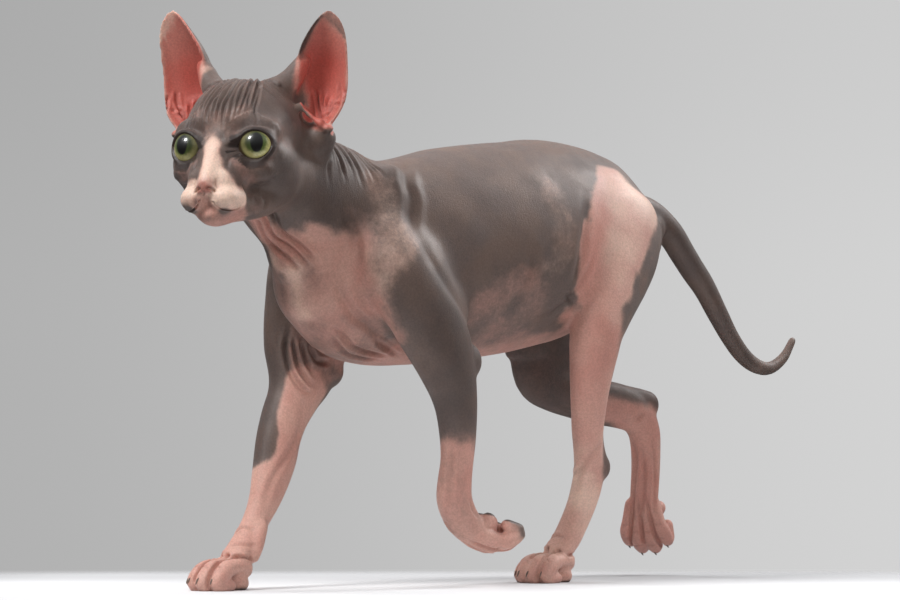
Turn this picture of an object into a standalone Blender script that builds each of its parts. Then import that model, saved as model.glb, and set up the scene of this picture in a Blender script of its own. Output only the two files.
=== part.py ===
"""A sphynx cat in a walking pose, life size, as a still solid model.

The cat faces -Y, its left side is +X and its feet stand on Z = 0. Every form is laid out in
millimetres along the cat's own forward, left and up directions.
"""
import math

import bmesh
import bpy
import numpy as np
from mathutils import Matrix, Vector
from mathutils.bvhtree import BVHTree

# Working resolution and gaps
SKIN_CELL = 1.1            # size of the cells that the body is closed over with
GAP = 0.3                  # space left between neighbouring lengths of the cat
BODY_TRIANGLES = 4900
HEAD_TRIANGLES = 3300
SOFT_ROUNDS = 160          # rounds of softening over the joins of the forms

# Trunk: forward, left, up, half width, half depth
TORSO = (
    (-131, 0, 210, 12, 12.5), (-121, 0, 206.5, 23, 24.5), (-107, 0, 205, 31, 34.5),
    (-88, 0, 204.5, 38.5, 46.5),
    (-55, 0, 200.5, 47, 56.5), (-20, 0, 193.5, 52, 60), (20, 0, 187, 50, 60.5), (60, 0, 180.5, 44, 58),
    (92, 0, 177.5, 37, 54.5), (114, 0, 181, 29, 43), (127, 2, 187, 20, 27),
)
NECK = (
    (84, 0, 190, 33, 44), (106, 0, 202, 30, 40), (126, 1, 212, 28, 36), (143, 3, 220, 27, 32),
    (156, 6, 226, 26, 28),
)
TAIL = (
    (-112, 0, 221, 11.5, 11.5), (-134, 0, 218, 9.4, 9.6), (-151, 0, 208.3, 8.4, 8.2),
    (-165, 0, 193, 7.8, 7.8),
    (-180, 0, 177, 7.2, 7.4), (-193, 0, 159.2, 6.5, 6.7), (-207.5, 0, 141.2, 5.8, 5.9),
    (-222, 0, 130.5, 5, 5.1), (-237, 0, 127.4, 4.3, 4.4), (-250.5, 0, 134, 3.6, 3.7),
    (-259.5, 0, 145.5, 2.6, 2.7),
)

# Legs, from the trunk down to the wrist or hock
FORELEG_RIGHT = (
    (90, -22, 196, 14, 25), (96, -33, 179, 17, 26), (96.5, -39, 155, 15.5, 25.5), (96, -40, 132, 14, 25.5),
    (98.5, -39.5, 117, 14, 21.5), (104, -38.5, 104.8, 13.2, 15.6), (110.2, -38, 93.8, 12.2, 13.8),
    (115.2, -36.8, 82.4, 11.4, 13), (118.6, -35.4, 71, 10.5, 12.9), (123.5, -33.2, 59, 9.3, 11.4),
    (128.2, -32, 48.1, 8, 9.4), (134.5, -31, 37.3, 7.2, 7.6), (142.2, -29, 27, 8, 7),
    (152, -26.5, 17.5, 9.4, 6),
)
FORELEG_LEFT = (
    (82, 22, 196, 14, 26), (85, 33, 179, 17.5, 27), (78, 40, 156, 16, 24), (66, 42, 134, 14.5, 20.5),
    (59, 42, 119, 13, 17), (54, 41, 107, 11.7, 14), (51, 40, 96.1, 10.4, 12.2), (48.5, 38, 80.9, 9.1, 10.7),
    (48.4, 37, 68.8, 8.3, 9.8), (49.2, 36, 57.9, 8.6, 10.2), (48, 34.5, 47.5, 9.2, 10.4),
    (40.6, 33, 36.6, 9.8, 9.2), (30, 32, 29, 10, 7.8), (21, 32, 25, 10, 6.8),
)
HINDLEG_LEFT = (
    (-84, 22, 214, 20, 32), (-81, 27, 199, 20, 32), (-74.8, 32, 183, 19, 27.8), (-66, 36.5, 168, 17, 23),
    (-58.2, 40, 155, 15.4, 18.8), (-52, 42, 144.2, 14.2, 16.4), (-49.8, 42, 132.7, 12.8, 15.4),
    (-49, 40.3, 118.4, 11.2, 13.4), (-50.6, 36.8, 104.2, 9.8, 11.6), (-55, 30.8, 87.2, 8.6, 10),
    (-59.4, 26.2, 75.8, 8, 9), (-63.6, 22.4, 64.3, 8.2, 9.4), (-63.8, 20, 54, 8.6, 9.2),
    (-61.6, 17.5, 43, 8.6, 8.4),
    (-58, 15.5, 33.3, 8.6, 8), (-53, 14.2, 24, 9.2, 7.4), (-46.5, 13, 16.8, 9.6, 6.2),
)
HINDLEG_RIGHT = (
    (-88, -22, 214, 20, 34), (-86, -27, 196, 20, 33), (-82, -32, 175, 18.5, 29), (-75, -35.5, 153, 16.5, 25),
    (-81, -37, 134, 14.5, 25.5), (-80.5, -37, 121, 13, 19), (-90, -36, 114, 12, 15.6),
    (-102.5, -35, 110, 11, 14.6), (-119.2, -32, 105.8, 10.4, 14.2), (-137.2, -29, 102.8, 9.6, 13.8),
    (-148.5, -27, 97.5, 9.4, 12.4), (-154.5, -26, 88, 9.6, 10.2), (-156, -26, 76, 9.4, 9),
    (-155.8, -26, 64, 9.4, 8.4), (-155, -26, 54, 9.8, 7.6), (-154.2, -26, 45, 10, 7),
    (-153.6, -26, 38, 10.2, 6.6),
)

# Muscle and bone masses of the trunk and legs: centre, half sizes, pitch in degrees
MASSES = (
    ((80, 22, 198), (30, 14, 34), 25), ((86, -22, 198), (30, 14, 34), 15),
    ((64, 38, 152), (20, 12, 24), 30), ((84, -37, 144), (19, 12, 25), 10),
    ((46.5, 42, 124), (10, 8.5, 11), 0), ((81.5, -38.5, 120), (11.5, 9, 10.5), 0),
    ((-92, 22, 202), (25, 20, 27), 0), ((-93, -22, 201), (25, 20, 27), 0),
    ((-82.5, 30, 187), (15, 13, 26.5), -25), ((-92, -30, 176), (17, 13, 28), -10),
    ((-71.5, 22.5, 66), (7.6, 6.3, 8.5), 0), ((-156.5, -26, 104), (9, 7, 9), 0),
    ((-30, 0, 178), (55, 48, 42), 0), ((112, 0, 187), (20, 28, 29), 0),
)
SINEWS = (
    ((-58, 34, 108, 6, 7), (-65, 27.4, 84, 4, 4.6), (-72.5, 23, 68, 4.4, 4.6)),
    ((-98, -35, 117, 6, 7), (-130, -30, 113, 4.4, 5), (-153, -26.5, 109, 4.8, 5)),
)

# Paws: centre of the row of knuckles, toe direction, direction of the back of the paw, spread
PAWS = {
    "forepaw_right": ((159, -25.5, -0.8), (1, 0.05, 0), (0, 0, 1), 0.86),
    "forepaw_left": ((20, 32, 38.5), (-0.94, 0, -0.34), (0.34, 0, -0.94), 0.96),
    "hindpaw_left": ((-42, 12.5, -0.8), (1, 0.05, 0), (0, 0, 1), 0.86),
    "hindpaw_right": ((-165, -31, 35), (-0.06, 0, -1), (0.9, 0.42, -0.05), 1.04),
}
TOE_OFFSETS = (-11.2, -3.9, 3.9, 11.2)
TOE_REACH = (15.5, 20, 20, 15.5)

# Head, measured from the point midway between the eyes with the nose level
HEAD_AT = (192.5, 20.5, 234.2)
HEAD_TURN = 31.5
EYE_AT = (1.5, 17.4, -1.6)
HEAD_BALLS = (
    ((-24, 0, 8), (33, 31, 29.8)), ((-9, 0, 11), (21, 24, 18)), ((-20, 0, -20), (25, 23, 18)),
    ((13, 0, -38.5), (10.5, 9, 5.6)), ((25.2, 0, -24.4), (5, 5.6, 5)), ((8, 0, -24), (17, 14, 14)),
)
HEAD_PAIRS = (
    ((-1.5, 14.5, 8.5), (9.5, 13, 6.5)), ((8, 9, -4), (8, 5.5, 8)),
    ((-13, 20.5, -9), (19, 13.5, 15)), ((-22, 19.5, -14), (17, 14, 17)),
    ((16.3, 8.3, -30), (12.2, 9.4, 7.6)), (EYE_AT, (11.9, 11.9, 11.9)),
    ((7, 9, -15), (12, 8.4, 9)), ((-3, 19.5, 6.5), (10, 11, 8.5)), ((-43, 34, 6), (10, 13, 10)),
    ((16.5, 7.2, -20.5), (8.5, 6.6, 7.5)), ((3, 20, -14), (8, 9, 7)),
)
NOSE_BRIDGE = (
    (-8, 0, 12, 12, 10), (4, 0, 3.5, 10, 8.6), (13, 0, -7, 7.6, 7.3), (20.5, 0, -16.5, 6.4, 6.2),
    (25.5, 0, -23, 5.4, 5.2),
)
EAR_ROOT = (
    (-25, 12, 27.5, 8, 9), (-30, 18, 32.5, 7.5, 8), (-34.5, 24, 39.5, 6, 6.5), (-36.5, 28.5, 47.5, 4, 4.5),
)
JAW = ((-24, 18, -22, 9, 11), (-8, 14, -30.5, 8, 8.5), (9, 6, -36, 6.5, 6))
DEWCLAW = ((136, -23, 34, 3.6, 3.6), (141, -21, 24, 4, 4), (143.5, -20.5, 17.5, 3.2, 3.2))
EYE_RADIUS = 10.5
EYE_TURN = 19
LID_OPENING = (8.3, 7.5)   # half width and half height of the opening of the lids
EAR_INNER_EDGE = (
    (-27, 24, 18), (-30, 27, 32), (-31.5, 27.6, 43), (-29.5, 30.5, 54), (-28.5, 36, 63.5), (-30, 44, 72.5),
)
EAR_OUTER_EDGE = (
    (-35, 40, 9), (-35, 48.5, 20), (-37.5, 52.5, 31), (-36.8, 53.4, 45), (-33.2, 54, 59.5),
    (-30.6, 48.5, 72),
)
RIGHT_EAR_RISE = 1.06
EAR_DEPTH = (11, 13, 12, 9.5, 6, 1.2)
EAR_THICKNESS = (3.4, 2.8, 2.4, 2.1, 1.9, 1.7)
MOUTH_LINE = ((32, 0, -35.8), (28, 5, -37.4), (20, 12, -36.2), (13, 17, -33.4), (8, 19, -30.4))

# Places where the cat is parted: centre, direction across the cut, half size of the cut
NECK_CUT = ((145, 2, 221), (0.78, 0.22, 0.58), 46)
TRUNK_CUTS = (
    ((108, 0, 203), (0.86, 0, 0.5), 62), ((22, 0, 190), (1, 0, 0), 75),
    ((-152, 0, 208.5), (-0.76, 0, -0.65), 15), ((-185, 0, 167.5), (-0.56, 0, -0.83), 14),
    ((-222, 0, 129.8), (-0.95, 0, -0.3), 11),
)
LEG_SLEEVE = 5             # how far outside a leg its parting from the trunk runs
# Legs: their stations, how many of those stay in the trunk, and the cuts at elbow and wrist
LEG_PARTS = {
    "foreleg_right": (
        FORELEG_RIGHT, 3, ((102, -38.5, 106), (0.5, 0.05, -0.86)), ((132.6, -31.2, 40.6), (0.5, 0.1, -0.86)),
    ),
    "foreleg_left": (
        FORELEG_LEFT, 3, ((55, 41.3, 110), (-0.35, -0.05, -0.93)), ((48.8, 35, 52), (-0.05, -0.1, -1)),
    ),
    "hindleg_left": (
        HINDLEG_LEFT, 3, ((-50.8, 41, 138), (0.25, 0.1, -0.96)), ((-63.9, 20.6, 57.5), (0, -0.1, -1)),
    ),
    "hindleg_right": (
        HINDLEG_RIGHT, 3, ((-114, -33, 107), (-0.97, 0, -0.12)), ((-155.7, -26, 83), (0, 0, -1)),
    ),
}
EAR_CANAL = ((-31, 30.5, 20), (4.5, 5, 6))
EAR_LIFT = (-0.1, 0.25, 0.35)   # how far each ear stands off the skull, on the left

# Where each length of the trunk and tail lies, to name it after it is parted
TRUNK_NODES = {
    "neck": (130, 2, 213), "chest": (65, 0, 185), "belly": (-50, 0, 195), "tail_root": (-160, 0, 200),
    "tail_middle": (-203, 0, 144), "tail_tip": (-245, 0, 131),
}

# Colours of the skin and eyes, with how rough they look
SKIN_GREY = ((0.150, 0.122, 0.118), 0.62)
SKIN_PINK = ((0.520, 0.270, 0.215), 0.55)
EAR_PINK = ((0.560, 0.150, 0.110), 0.50)
IRIS_GREEN = ((0.300, 0.340, 0.080), 0.12)
TAIL_GREY = ((0.085, 0.066, 0.062), 0.62)
NODE_LOOKS = {
    "head": SKIN_GREY, "neck": SKIN_GREY, "chest": SKIN_GREY, "belly": SKIN_GREY, "tail_root": TAIL_GREY,
    "tail_middle": TAIL_GREY, "tail_tip": TAIL_GREY, "ear_left": EAR_PINK, "ear_right": EAR_PINK,
    "eye_left": IRIS_GREEN, "eye_right": IRIS_GREEN, "foreleg_left_upper": SKIN_GREY,
    "foreleg_left_lower": SKIN_GREY, "foreleg_right_upper": SKIN_GREY,
}

METERS = 0.001


def place(point):
    """Turn forward, left, up millimetres into scene metres."""
    return Vector((point[1], -point[0], point[2])) * METERS


def head_place(point):
    """Turn millimetres measured on the head into forward, left, up millimetres of the cat."""
    turn = math.radians(HEAD_TURN)
    forward = HEAD_AT[0] + point[0] * math.cos(turn) - point[1] * math.sin(turn)
    left = HEAD_AT[1] + point[0] * math.sin(turn) + point[1] * math.cos(turn)
    return (forward, left, HEAD_AT[2] + point[2])


def mirrored(point):
    """Carry a place or a tube station to the other side of the head."""
    return (point[0], -point[1]) + tuple(point[2:])


def smooth_rows(rows, steps):
    """Run a smooth curve through the rows and return it at steps places per span."""
    rows = np.array(rows, dtype=float)
    padded = np.vstack((2 * rows[0] - rows[1], rows, 2 * rows[-1] - rows[-2]))
    curve = []
    for span in range(len(rows) - 1):
        before, start, end, after = padded[span:span + 4]
        for step in range(steps):
            t = step / steps
            curve.append(0.5 * (2 * start + (end - before) * t
                                + (2 * before - 5 * start + 4 * end - after) * t ** 2
                                + (3 * start - before - 3 * end + after) * t ** 3))
    curve.append(rows[-1])
    return np.array(curve)


def add_tube(form, stations, sides=20, steps=4, grow=0.0, across=(0, 1, 0)):
    """Add an oval tube with round ends through stations of place, half width and half depth."""
    curve = smooth_rows(stations, steps)
    centres = curve[:, :3]
    sizes = curve[:, 3:5] + grow
    tangents = np.gradient(centres, axis=0)
    tangents /= np.linalg.norm(tangents, axis=1)[:, None]
    rings = []
    for tilt in (75, 50, 25):
        reach = min(sizes[0]) * math.sin(math.radians(tilt))
        size = sizes[0] * math.cos(math.radians(tilt))
        rings.append((centres[0] - tangents[0] * reach, tangents[0], size))
    rings += list(zip(centres, tangents, sizes))
    for tilt in (25, 50, 75):
        reach = min(sizes[-1]) * math.sin(math.radians(tilt))
        size = sizes[-1] * math.cos(math.radians(tilt))
        rings.append((centres[-1] + tangents[-1] * reach, tangents[-1], size))
    loops = []
    for centre, tangent, size in rings:
        wide = np.array(across, dtype=float) - np.dot(across, tangent) * tangent
        wide /= np.linalg.norm(wide)
        deep = np.cross(tangent, wide)
        loop = []
        for side in range(sides):
            turn = 2 * math.pi * side / sides
            point = centre + wide * size[0] * math.cos(turn) + deep * size[1] * math.sin(turn)
            loop.append(form.verts.new(place(point)))
        loops.append(loop)
    for near, far in zip(loops, loops[1:]):
        for side in range(sides):
            following = (side + 1) % sides
            form.faces.new((near[side], near[following], far[following], far[side]))
    form.faces.new(list(reversed(loops[0])))
    form.faces.new(loops[-1])


def add_ball(form, centre, radii, pitch=0.0, heading=0.0, rings=14):
    """Add an egg-shaped mass, pitched nose-down and headed to the left by degrees."""
    turn = Matrix.Rotation(math.radians(heading), 4, "Z") @ Matrix.Rotation(math.radians(pitch), 4, "X")
    size = Matrix.Diagonal((radii[1] * METERS, radii[0] * METERS, radii[2] * METERS, 1))
    matrix = Matrix.Translation(place(centre)) @ turn @ size
    bmesh.ops.create_uvsphere(form, u_segments=rings + 8, v_segments=rings, radius=1, matrix=matrix)


def mesh_object(name, form):
    """Close the form's normals and put it in the scene under the name."""
    bmesh.ops.recalc_face_normals(form, faces=form.faces)
    mesh = bpy.data.meshes.new(name)
    form.to_mesh(mesh)
    form.free()
    solid = bpy.data.objects.new(name, mesh)
    bpy.context.collection.objects.link(solid)
    return solid


def apply_modifiers(solid):
    """Replace the object's mesh with the outcome of its modifiers."""
    shaped = bpy.data.meshes.new_from_object(solid.evaluated_get(bpy.context.evaluated_depsgraph_get()))
    solid.modifiers.clear()
    solid.data = shaped
    return solid


def carve(solid, cutter, operation="DIFFERENCE", solver="EXACT"):
    """Apply one Boolean with the cutter and remove the cutter."""
    cut = solid.modifiers.new("cut", "BOOLEAN")
    cut.operation = operation
    cut.solver = solver
    cut.object = cutter
    apply_modifiers(solid)
    bpy.data.objects.remove(cutter)
    return solid


def slab(centre, direction, half_size, thickness):
    """Make a thin square slab across a direction given in forward, left, up."""
    form = bmesh.new()
    bmesh.ops.create_cube(form, size=1)
    half = (half_size, half_size) if np.isscalar(half_size) else half_size
    normal = place(direction).normalized()
    turn = normal.to_track_quat("Z", "Y").to_matrix().to_4x4()
    size = Matrix.Diagonal((2 * half[0] * METERS, 2 * half[1] * METERS, thickness * METERS, 1))
    bmesh.ops.transform(form, matrix=Matrix.Translation(place(centre)) @ turn @ size, verts=form.verts)
    return mesh_object("slab", form)


def add_paw(form, centre, toe_direction, back_direction, spread):
    """Add four toes, their pads and claws, and the large pad of one paw."""
    ahead = np.array(toe_direction, dtype=float)
    ahead /= np.linalg.norm(ahead)
    back = np.array(back_direction, dtype=float)
    back -= np.dot(back, ahead) * ahead
    back /= np.linalg.norm(back)
    side = np.cross(back, ahead)

    def on_paw(x, y, z):
        return tuple(np.array(centre) + ahead * x + side * y * spread + back * z)

    for offset, reach in zip(TOE_OFFSETS, TOE_REACH):
        toe = (
            on_paw(-9, offset * 0.62, 13) + (4.2, 4.4), on_paw(reach - 14, offset * 0.82, 13) + (4.3, 4.3),
            on_paw(reach - 8.5, offset * 0.96, 11.6) + (4.7, 4.7),
            on_paw(reach - 3.8, offset * 1.04, 8) + (4.4, 4.2),
            on_paw(reach - 1.5, offset * 1.06, 5.2) + (3.8, 3.6),
        )
        add_tube(form, toe, sides=14, steps=3, across=tuple(side))
        heel, front = on_paw(reach - 11, offset, 3.4), on_paw(reach - 3, offset * 1.04, 2.8)
        pad = (heel + (3.8, 3.6), front + (3.9, 3.4))
        add_tube(form, pad, sides=12, steps=2, across=tuple(side))
        root, tip = on_paw(reach, offset * 1.06, 7.4), on_paw(reach + 3.6, offset * 1.07, 5.4)
        claw = (root + (1.1, 1.5), tip + (0.7, 0.8))
        add_tube(form, claw, sides=10, steps=2, across=tuple(side))
    palm = (on_paw(-6, -6.5, 4.6) + (4.8, 5), on_paw(-1, 0, 4) + (6, 4.8), on_paw(-6, 6.5, 4.6) + (4.8, 5))
    add_tube(form, palm, sides=14, steps=3, across=tuple(ahead))
    knuckles = (on_paw(-10, 0, 11.5) + (9.2, 5.6), on_paw(-1, 0, 10.5) + (9.8, 4.6))
    add_tube(form, knuckles, sides=16, steps=2, across=tuple(side))


def make_ear(head, side):
    """Make one cupped ear as a thin closed shell fitted to the head; side is 1 for left, -1 for right."""
    form = bmesh.new()
    rows = 3
    inner = smooth_rows(EAR_INNER_EDGE, rows)
    outer = smooth_rows(EAR_OUTER_EDGE, rows)
    depth = smooth_rows([(value,) for value in EAR_DEPTH], rows)[:, 0]
    thickness = smooth_rows([(value,) for value in EAR_THICKNESS], rows)[:, 0]
    rearward = np.array((-0.93, -0.36, -0.08))
    columns = np.linspace(-1, 1, 13)
    faces = ([], [])
    for near, far, deep, wall in zip(inner, outer, depth, thickness):
        middle = (near + far) / 2
        chord = (far - near) / 2
        for layer, push in zip(faces, (0.0, 1.0)):
            row = []
            for column in columns:
                shape = (1 - column ** 2) ** 0.7
                narrow = 1 + push * wall * 0.5 / max(np.linalg.norm(chord), 1)
                point = middle + chord * column * narrow + rearward * (deep * shape + push * wall)
                point[1] -= deep * shape * (1 - column) * 0.24
                head_point = (point[0], point[1] * side, point[2] * (1 if side > 0 else RIGHT_EAR_RISE))
                row.append(form.verts.new(place(head_place(head_point))))
            layer.append(row)
    front, rear = faces
    last = len(columns) - 1
    for row in range(len(front) - 1):
        for column in range(last):
            for layer in (front, rear):
                form.faces.new((layer[row][column], layer[row][column + 1],
                                layer[row + 1][column + 1], layer[row + 1][column]))
        for column in (0, last):
            form.faces.new((front[row][column], front[row + 1][column],
                            rear[row + 1][column], rear[row][column]))
    for row in (0, len(front) - 1):
        for column in range(last):
            form.faces.new((front[row][column], front[row][column + 1],
                            rear[row][column + 1], rear[row][column]))
    ear = mesh_object("shell", form)
    skull = bpy.data.objects.new("skull", head.data.copy())
    bpy.context.collection.objects.link(skull)
    carve(ear, skull)
    lift = np.array(head_direction((EAR_LIFT[0], EAR_LIFT[1] * side, EAR_LIFT[2])))
    ear.data.transform(Matrix.Translation(place(lift)))
    ear = keep_largest(ear)
    ear.name = "ear_left" if side > 0 else "ear_right"
    form = bmesh.new()
    centre, radii = EAR_CANAL
    add_ball(form, head_place((centre[0], centre[1] * side, centre[2])), radii, heading=HEAD_TURN, rings=8)
    carve(head, mesh_object("canal", form))


def body_form():
    """Lay out every mass of the cat as one set of closed, overlapping forms."""
    form = bmesh.new()
    add_tube(form, TORSO, sides=32)
    add_tube(form, NECK, sides=28)
    add_tube(form, TAIL, sides=18)
    for leg in (FORELEG_RIGHT, FORELEG_LEFT, HINDLEG_LEFT, HINDLEG_RIGHT):
        add_tube(form, leg, sides=22)
    for sinew in SINEWS:
        add_tube(form, sinew, sides=14)
    for centre, radii, pitch in MASSES:
        add_ball(form, centre, radii, pitch)
    for paw in PAWS.values():
        add_paw(form, *paw)
    add_tube(form, DEWCLAW, sides=12)
    for centre, radii in HEAD_BALLS:
        add_ball(form, head_place(centre), radii, heading=HEAD_TURN)
    for centre, radii in HEAD_PAIRS:
        for pair_centre in (centre, mirrored(centre)):
            add_ball(form, head_place(pair_centre), radii, heading=HEAD_TURN)
    add_tube(form, [head_place(row) + row[3:] for row in NOSE_BRIDGE])
    for line in (JAW, EAR_ROOT):
        for rows in (line, [mirrored(row) for row in line]):
            add_tube(form, [head_place(row) + tuple(row[3:]) for row in rows])
    return mesh_object("cat", form)


def reach_from(points, start, end):
    """Measure in millimetres how far each place lies from the line between two places of the cat."""
    start = np.array(place(start))
    run = np.array(place(end)) - start
    along = np.clip((points - start) @ run / np.dot(run, run), 0, 1)
    return np.linalg.norm(points - start - along[:, None] * run, axis=1) / METERS, along


def softness(points):
    """Tell how far the skin is softened at each place: fully on the trunk, hardly on ears and toes."""
    height = points[:, 2] / METERS
    soft = np.clip((height - 125) / 50, 0.14, 1)
    tail_reach = reach_from(points, (-260, 0, 120), (-150, 0, 205))[0]
    soft = np.where(tail_reach < 42, np.minimum(soft, 0.1), soft)
    for centre, _, back, _ in PAWS.values():
        middle = np.array(place(np.array(centre) + 6 * np.array(back)))
        paw_reach = np.linalg.norm(points - middle, axis=1) / METERS
        soft = np.minimum(soft, np.clip((paw_reach - 18) / 120, 0.015, 1))
    skull = np.array(place(head_place((-10, 0, 0))))
    skull_reach = np.linalg.norm(points - skull, axis=1) / METERS
    soft = np.where(skull_reach < 60, np.minimum(soft, 0.45 + np.clip((skull_reach - 45) / 15, 0, 1)), soft)
    for side in (1, -1):
        eye = np.array(place(head_place((8, 18.5 * side, -1.6))))
        eye_reach = np.linalg.norm(points - eye, axis=1) / METERS
        soft = np.minimum(soft, np.clip(eye_reach / 60, 0.08, 1))
    nose = np.array(place(head_place((26, 0, -27))))
    return np.minimum(soft, np.clip(np.linalg.norm(points - nose, axis=1) / METERS / 90, 0.04, 1))


def close_over(solid, cell, rounds):
    """Fuse the overlapping forms into one skin of even cells and soften their joins."""
    fuse = solid.modifiers.new("fuse", "REMESH")
    fuse.mode = "VOXEL"
    fuse.voxel_size = cell * METERS
    apply_modifiers(solid)
    points = np.empty(len(solid.data.vertices) * 3)
    solid.data.vertices.foreach_get("co", points)
    group = solid.vertex_groups.new(name="soft")
    weights = np.round(softness(points.reshape(-1, 3)), 2)
    for weight in np.unique(weights):
        group.add(np.flatnonzero(weights == weight).tolist(), float(weight), "REPLACE")
    soften = solid.modifiers.new("soften", "SMOOTH")
    soften.factor = 0.6
    soften.iterations = rounds
    soften.vertex_group = "soft"
    return apply_modifiers(solid)


def thin_out(solid, triangles):
    """Reduce the object's mesh to about the given number of triangles."""
    solid.data.calc_loop_triangles()
    thin = solid.modifiers.new("thin", "DECIMATE")
    thin.ratio = triangles / len(solid.data.loop_triangles)
    return apply_modifiers(solid)


def pieces_of(solid):
    """Split an object into its separate bodies, largest first, leaving out any crumbs."""
    form = bmesh.new()
    form.from_mesh(solid.data)
    bodies = []
    waiting = set(form.verts)
    while waiting:
        body = set()
        edge_of_body = [waiting.pop()]
        while edge_of_body:
            vertex = edge_of_body.pop()
            body.add(vertex)
            for edge in vertex.link_edges:
                other = edge.other_vert(vertex)
                if other in waiting:
                    waiting.discard(other)
                    edge_of_body.append(other)
        bodies.append(body)
    solids = []
    for body in sorted(bodies, key=len, reverse=True):
        if len(body) < 12:
            continue
        index = {vertex: number for number, vertex in enumerate(body)}
        faces = [[index[vertex] for vertex in face.verts] for face in form.faces if face.verts[0] in index]
        mesh = bpy.data.meshes.new("piece")
        mesh.from_pydata([vertex.co for vertex in body], [], faces)
        piece = bpy.data.objects.new("piece", mesh)
        bpy.context.collection.objects.link(piece)
        solids.append(piece)
    form.free()
    bpy.data.objects.remove(solid)
    return solids


def keep_largest(solid):
    """Keep only the largest body of the object."""
    largest, *crumbs = pieces_of(solid)
    for crumb in crumbs:
        bpy.data.objects.remove(crumb)
    return largest


def middle_of(solid):
    """Give the mean place of the object's mesh."""
    points = np.empty(len(solid.data.vertices) * 3)
    solid.data.vertices.foreach_get("co", points)
    return points.reshape(-1, 3).mean(axis=0)


def part_out(solid, stations):
    """Take the share of the object inside a tube out as its own object, with the gap around it."""
    inside = bpy.data.objects.new("inside", solid.data.copy())
    bpy.context.collection.objects.link(inside)
    for target, operation, grow in ((inside, "INTERSECT", 0.0), (solid, "DIFFERENCE", GAP)):
        form = bmesh.new()
        add_tube(form, stations, sides=16, steps=1, grow=grow)
        carve(target, mesh_object("parting", form), operation)
    return inside


def part_leg(body, name, stations, kept, joint_cut, wrist_cut):
    """Part one leg from the trunk and then into its upper leg, lower leg and paw."""
    sleeve = [row[:3] + (row[3] + LEG_SLEEVE, row[4] + LEG_SLEEVE) for row in stations[kept:]]
    last = np.array(sleeve[-1])
    sleeve[-1] = tuple(last[:3]) + (26, 24)
    sleeve.append(tuple(last[:3] + (last[:3] - np.array(sleeve[-2][:3])) * 1.6) + (30, 26))
    leg = part_out(body, sleeve)
    for centre, direction in (joint_cut, wrist_cut):
        carve(leg, slab(centre, direction, 21, GAP))
    pieces = pieces_of(leg)
    kind, side = name.split("_")
    order = [np.array(place(stations[kept])), np.array(place(stations[len(stations) // 2 + 1])),
             np.array(place(stations[-1]))]
    names = (name + "_upper", name + "_lower", kind.replace("leg", "paw") + "_" + side)
    for anchor, piece_name in zip(order, names):
        nearest = min(pieces, key=lambda piece: np.linalg.norm(middle_of(piece) - anchor))
        nearest.name = piece_name
        pieces.remove(nearest)
    for crumb in pieces:
        bpy.data.objects.remove(crumb)


def add_eye(head, side):
    """Carve one socket with its lids into the head and set the eyeball into it."""
    centre = head_place((EYE_AT[0], EYE_AT[1] * side, EYE_AT[2]))
    form = bmesh.new()
    add_ball(form, centre, (EYE_RADIUS + GAP,) * 3, rings=10)
    carve(head, mesh_object("socket", form))
    heading = math.radians(HEAD_TURN + EYE_TURN * side)
    gaze = np.array((math.cos(heading), math.sin(heading), 0))
    across = np.array((-gaze[1], gaze[0], 0))
    form = bmesh.new()
    rings = []
    for reach, width in ((2, 0.75), (18, 1.35)):
        ring = []
        for step in range(24):
            turn = 2 * math.pi * step / 24
            wide = math.copysign(abs(math.cos(turn)) ** 1.1, math.cos(turn)) * LID_OPENING[0] * width
            high = math.sin(turn) * LID_OPENING[1] * width
            point = np.array(centre) + gaze * reach + across * wide + np.array((0, 0, high))
            ring.append(form.verts.new(place(point)))
        rings.append(ring)
    for step in range(24):
        form.faces.new((rings[0][step], rings[0][step - 1], rings[1][step - 1], rings[1][step]))
    form.faces.new(rings[0])
    form.faces.new(rings[1])
    carve(head, mesh_object("lids", form))
    form = bmesh.new()
    add_ball(form, centre, (EYE_RADIUS,) * 3, rings=10)
    return mesh_object("eye_left" if side > 0 else "eye_right", form)


def surface_point(tree, point):
    """Find where a ray from inside the head through the point leaves the skin."""
    start = place(head_place((6, 0, point[2] + 1)))
    through = place(head_place(point))
    hit = tree.ray_cast(start, through - start)[0]
    return hit if hit is not None else through


def add_mouth(head):
    """Cut the line of the mouth, the cleft under the nose and the nostrils."""
    tree = BVHTree.FromObject(head, bpy.context.evaluated_depsgraph_get())
    line = [surface_point(tree, point) for point in
            [mirrored(point) for point in MOUTH_LINE[:0:-1]] + list(MOUTH_LINE)]
    form = bmesh.new()
    stations = [(-hit.y / METERS, hit.x / METERS, hit.z / METERS, 1.5, 0.6) for hit in line]
    add_tube(form, stations, sides=8, steps=3, across=head_direction((1, 0, 0)))
    carve(head, mesh_object("mouth", form), solver="MANIFOLD")
    form = bmesh.new()
    cleft = [surface_point(tree, point) for point in ((33, 0, -28.5), (32, 0, -34.6))]
    stations = [(-hit.y / METERS, hit.x / METERS, hit.z / METERS, 0.5, 1.2) for hit in cleft]
    add_tube(form, stations, sides=8, steps=2, across=head_direction((0, 1, 0)))
    carve(head, mesh_object("cleft", form), solver="MANIFOLD")
    for side in (1, -1):
        form = bmesh.new()
        nostril = [surface_point(tree, point) for point in ((33, 2.4 * side, -25.4), (31, 4.8 * side, -25.6))]
        stations = [(-hit.y / METERS, hit.x / METERS, hit.z / METERS, size, size)
                    for hit, size in zip(nostril, (1.3, 0.8))]
        add_tube(form, stations, sides=10, steps=2, across=(0, 0, 1))
        carve(head, mesh_object("nostril", form), solver="MANIFOLD")


def head_direction(direction):
    """Turn a direction measured on the head into forward, left, up of the cat."""
    end = np.array(head_place(direction))
    return tuple(end - np.array(head_place((0, 0, 0))))


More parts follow.
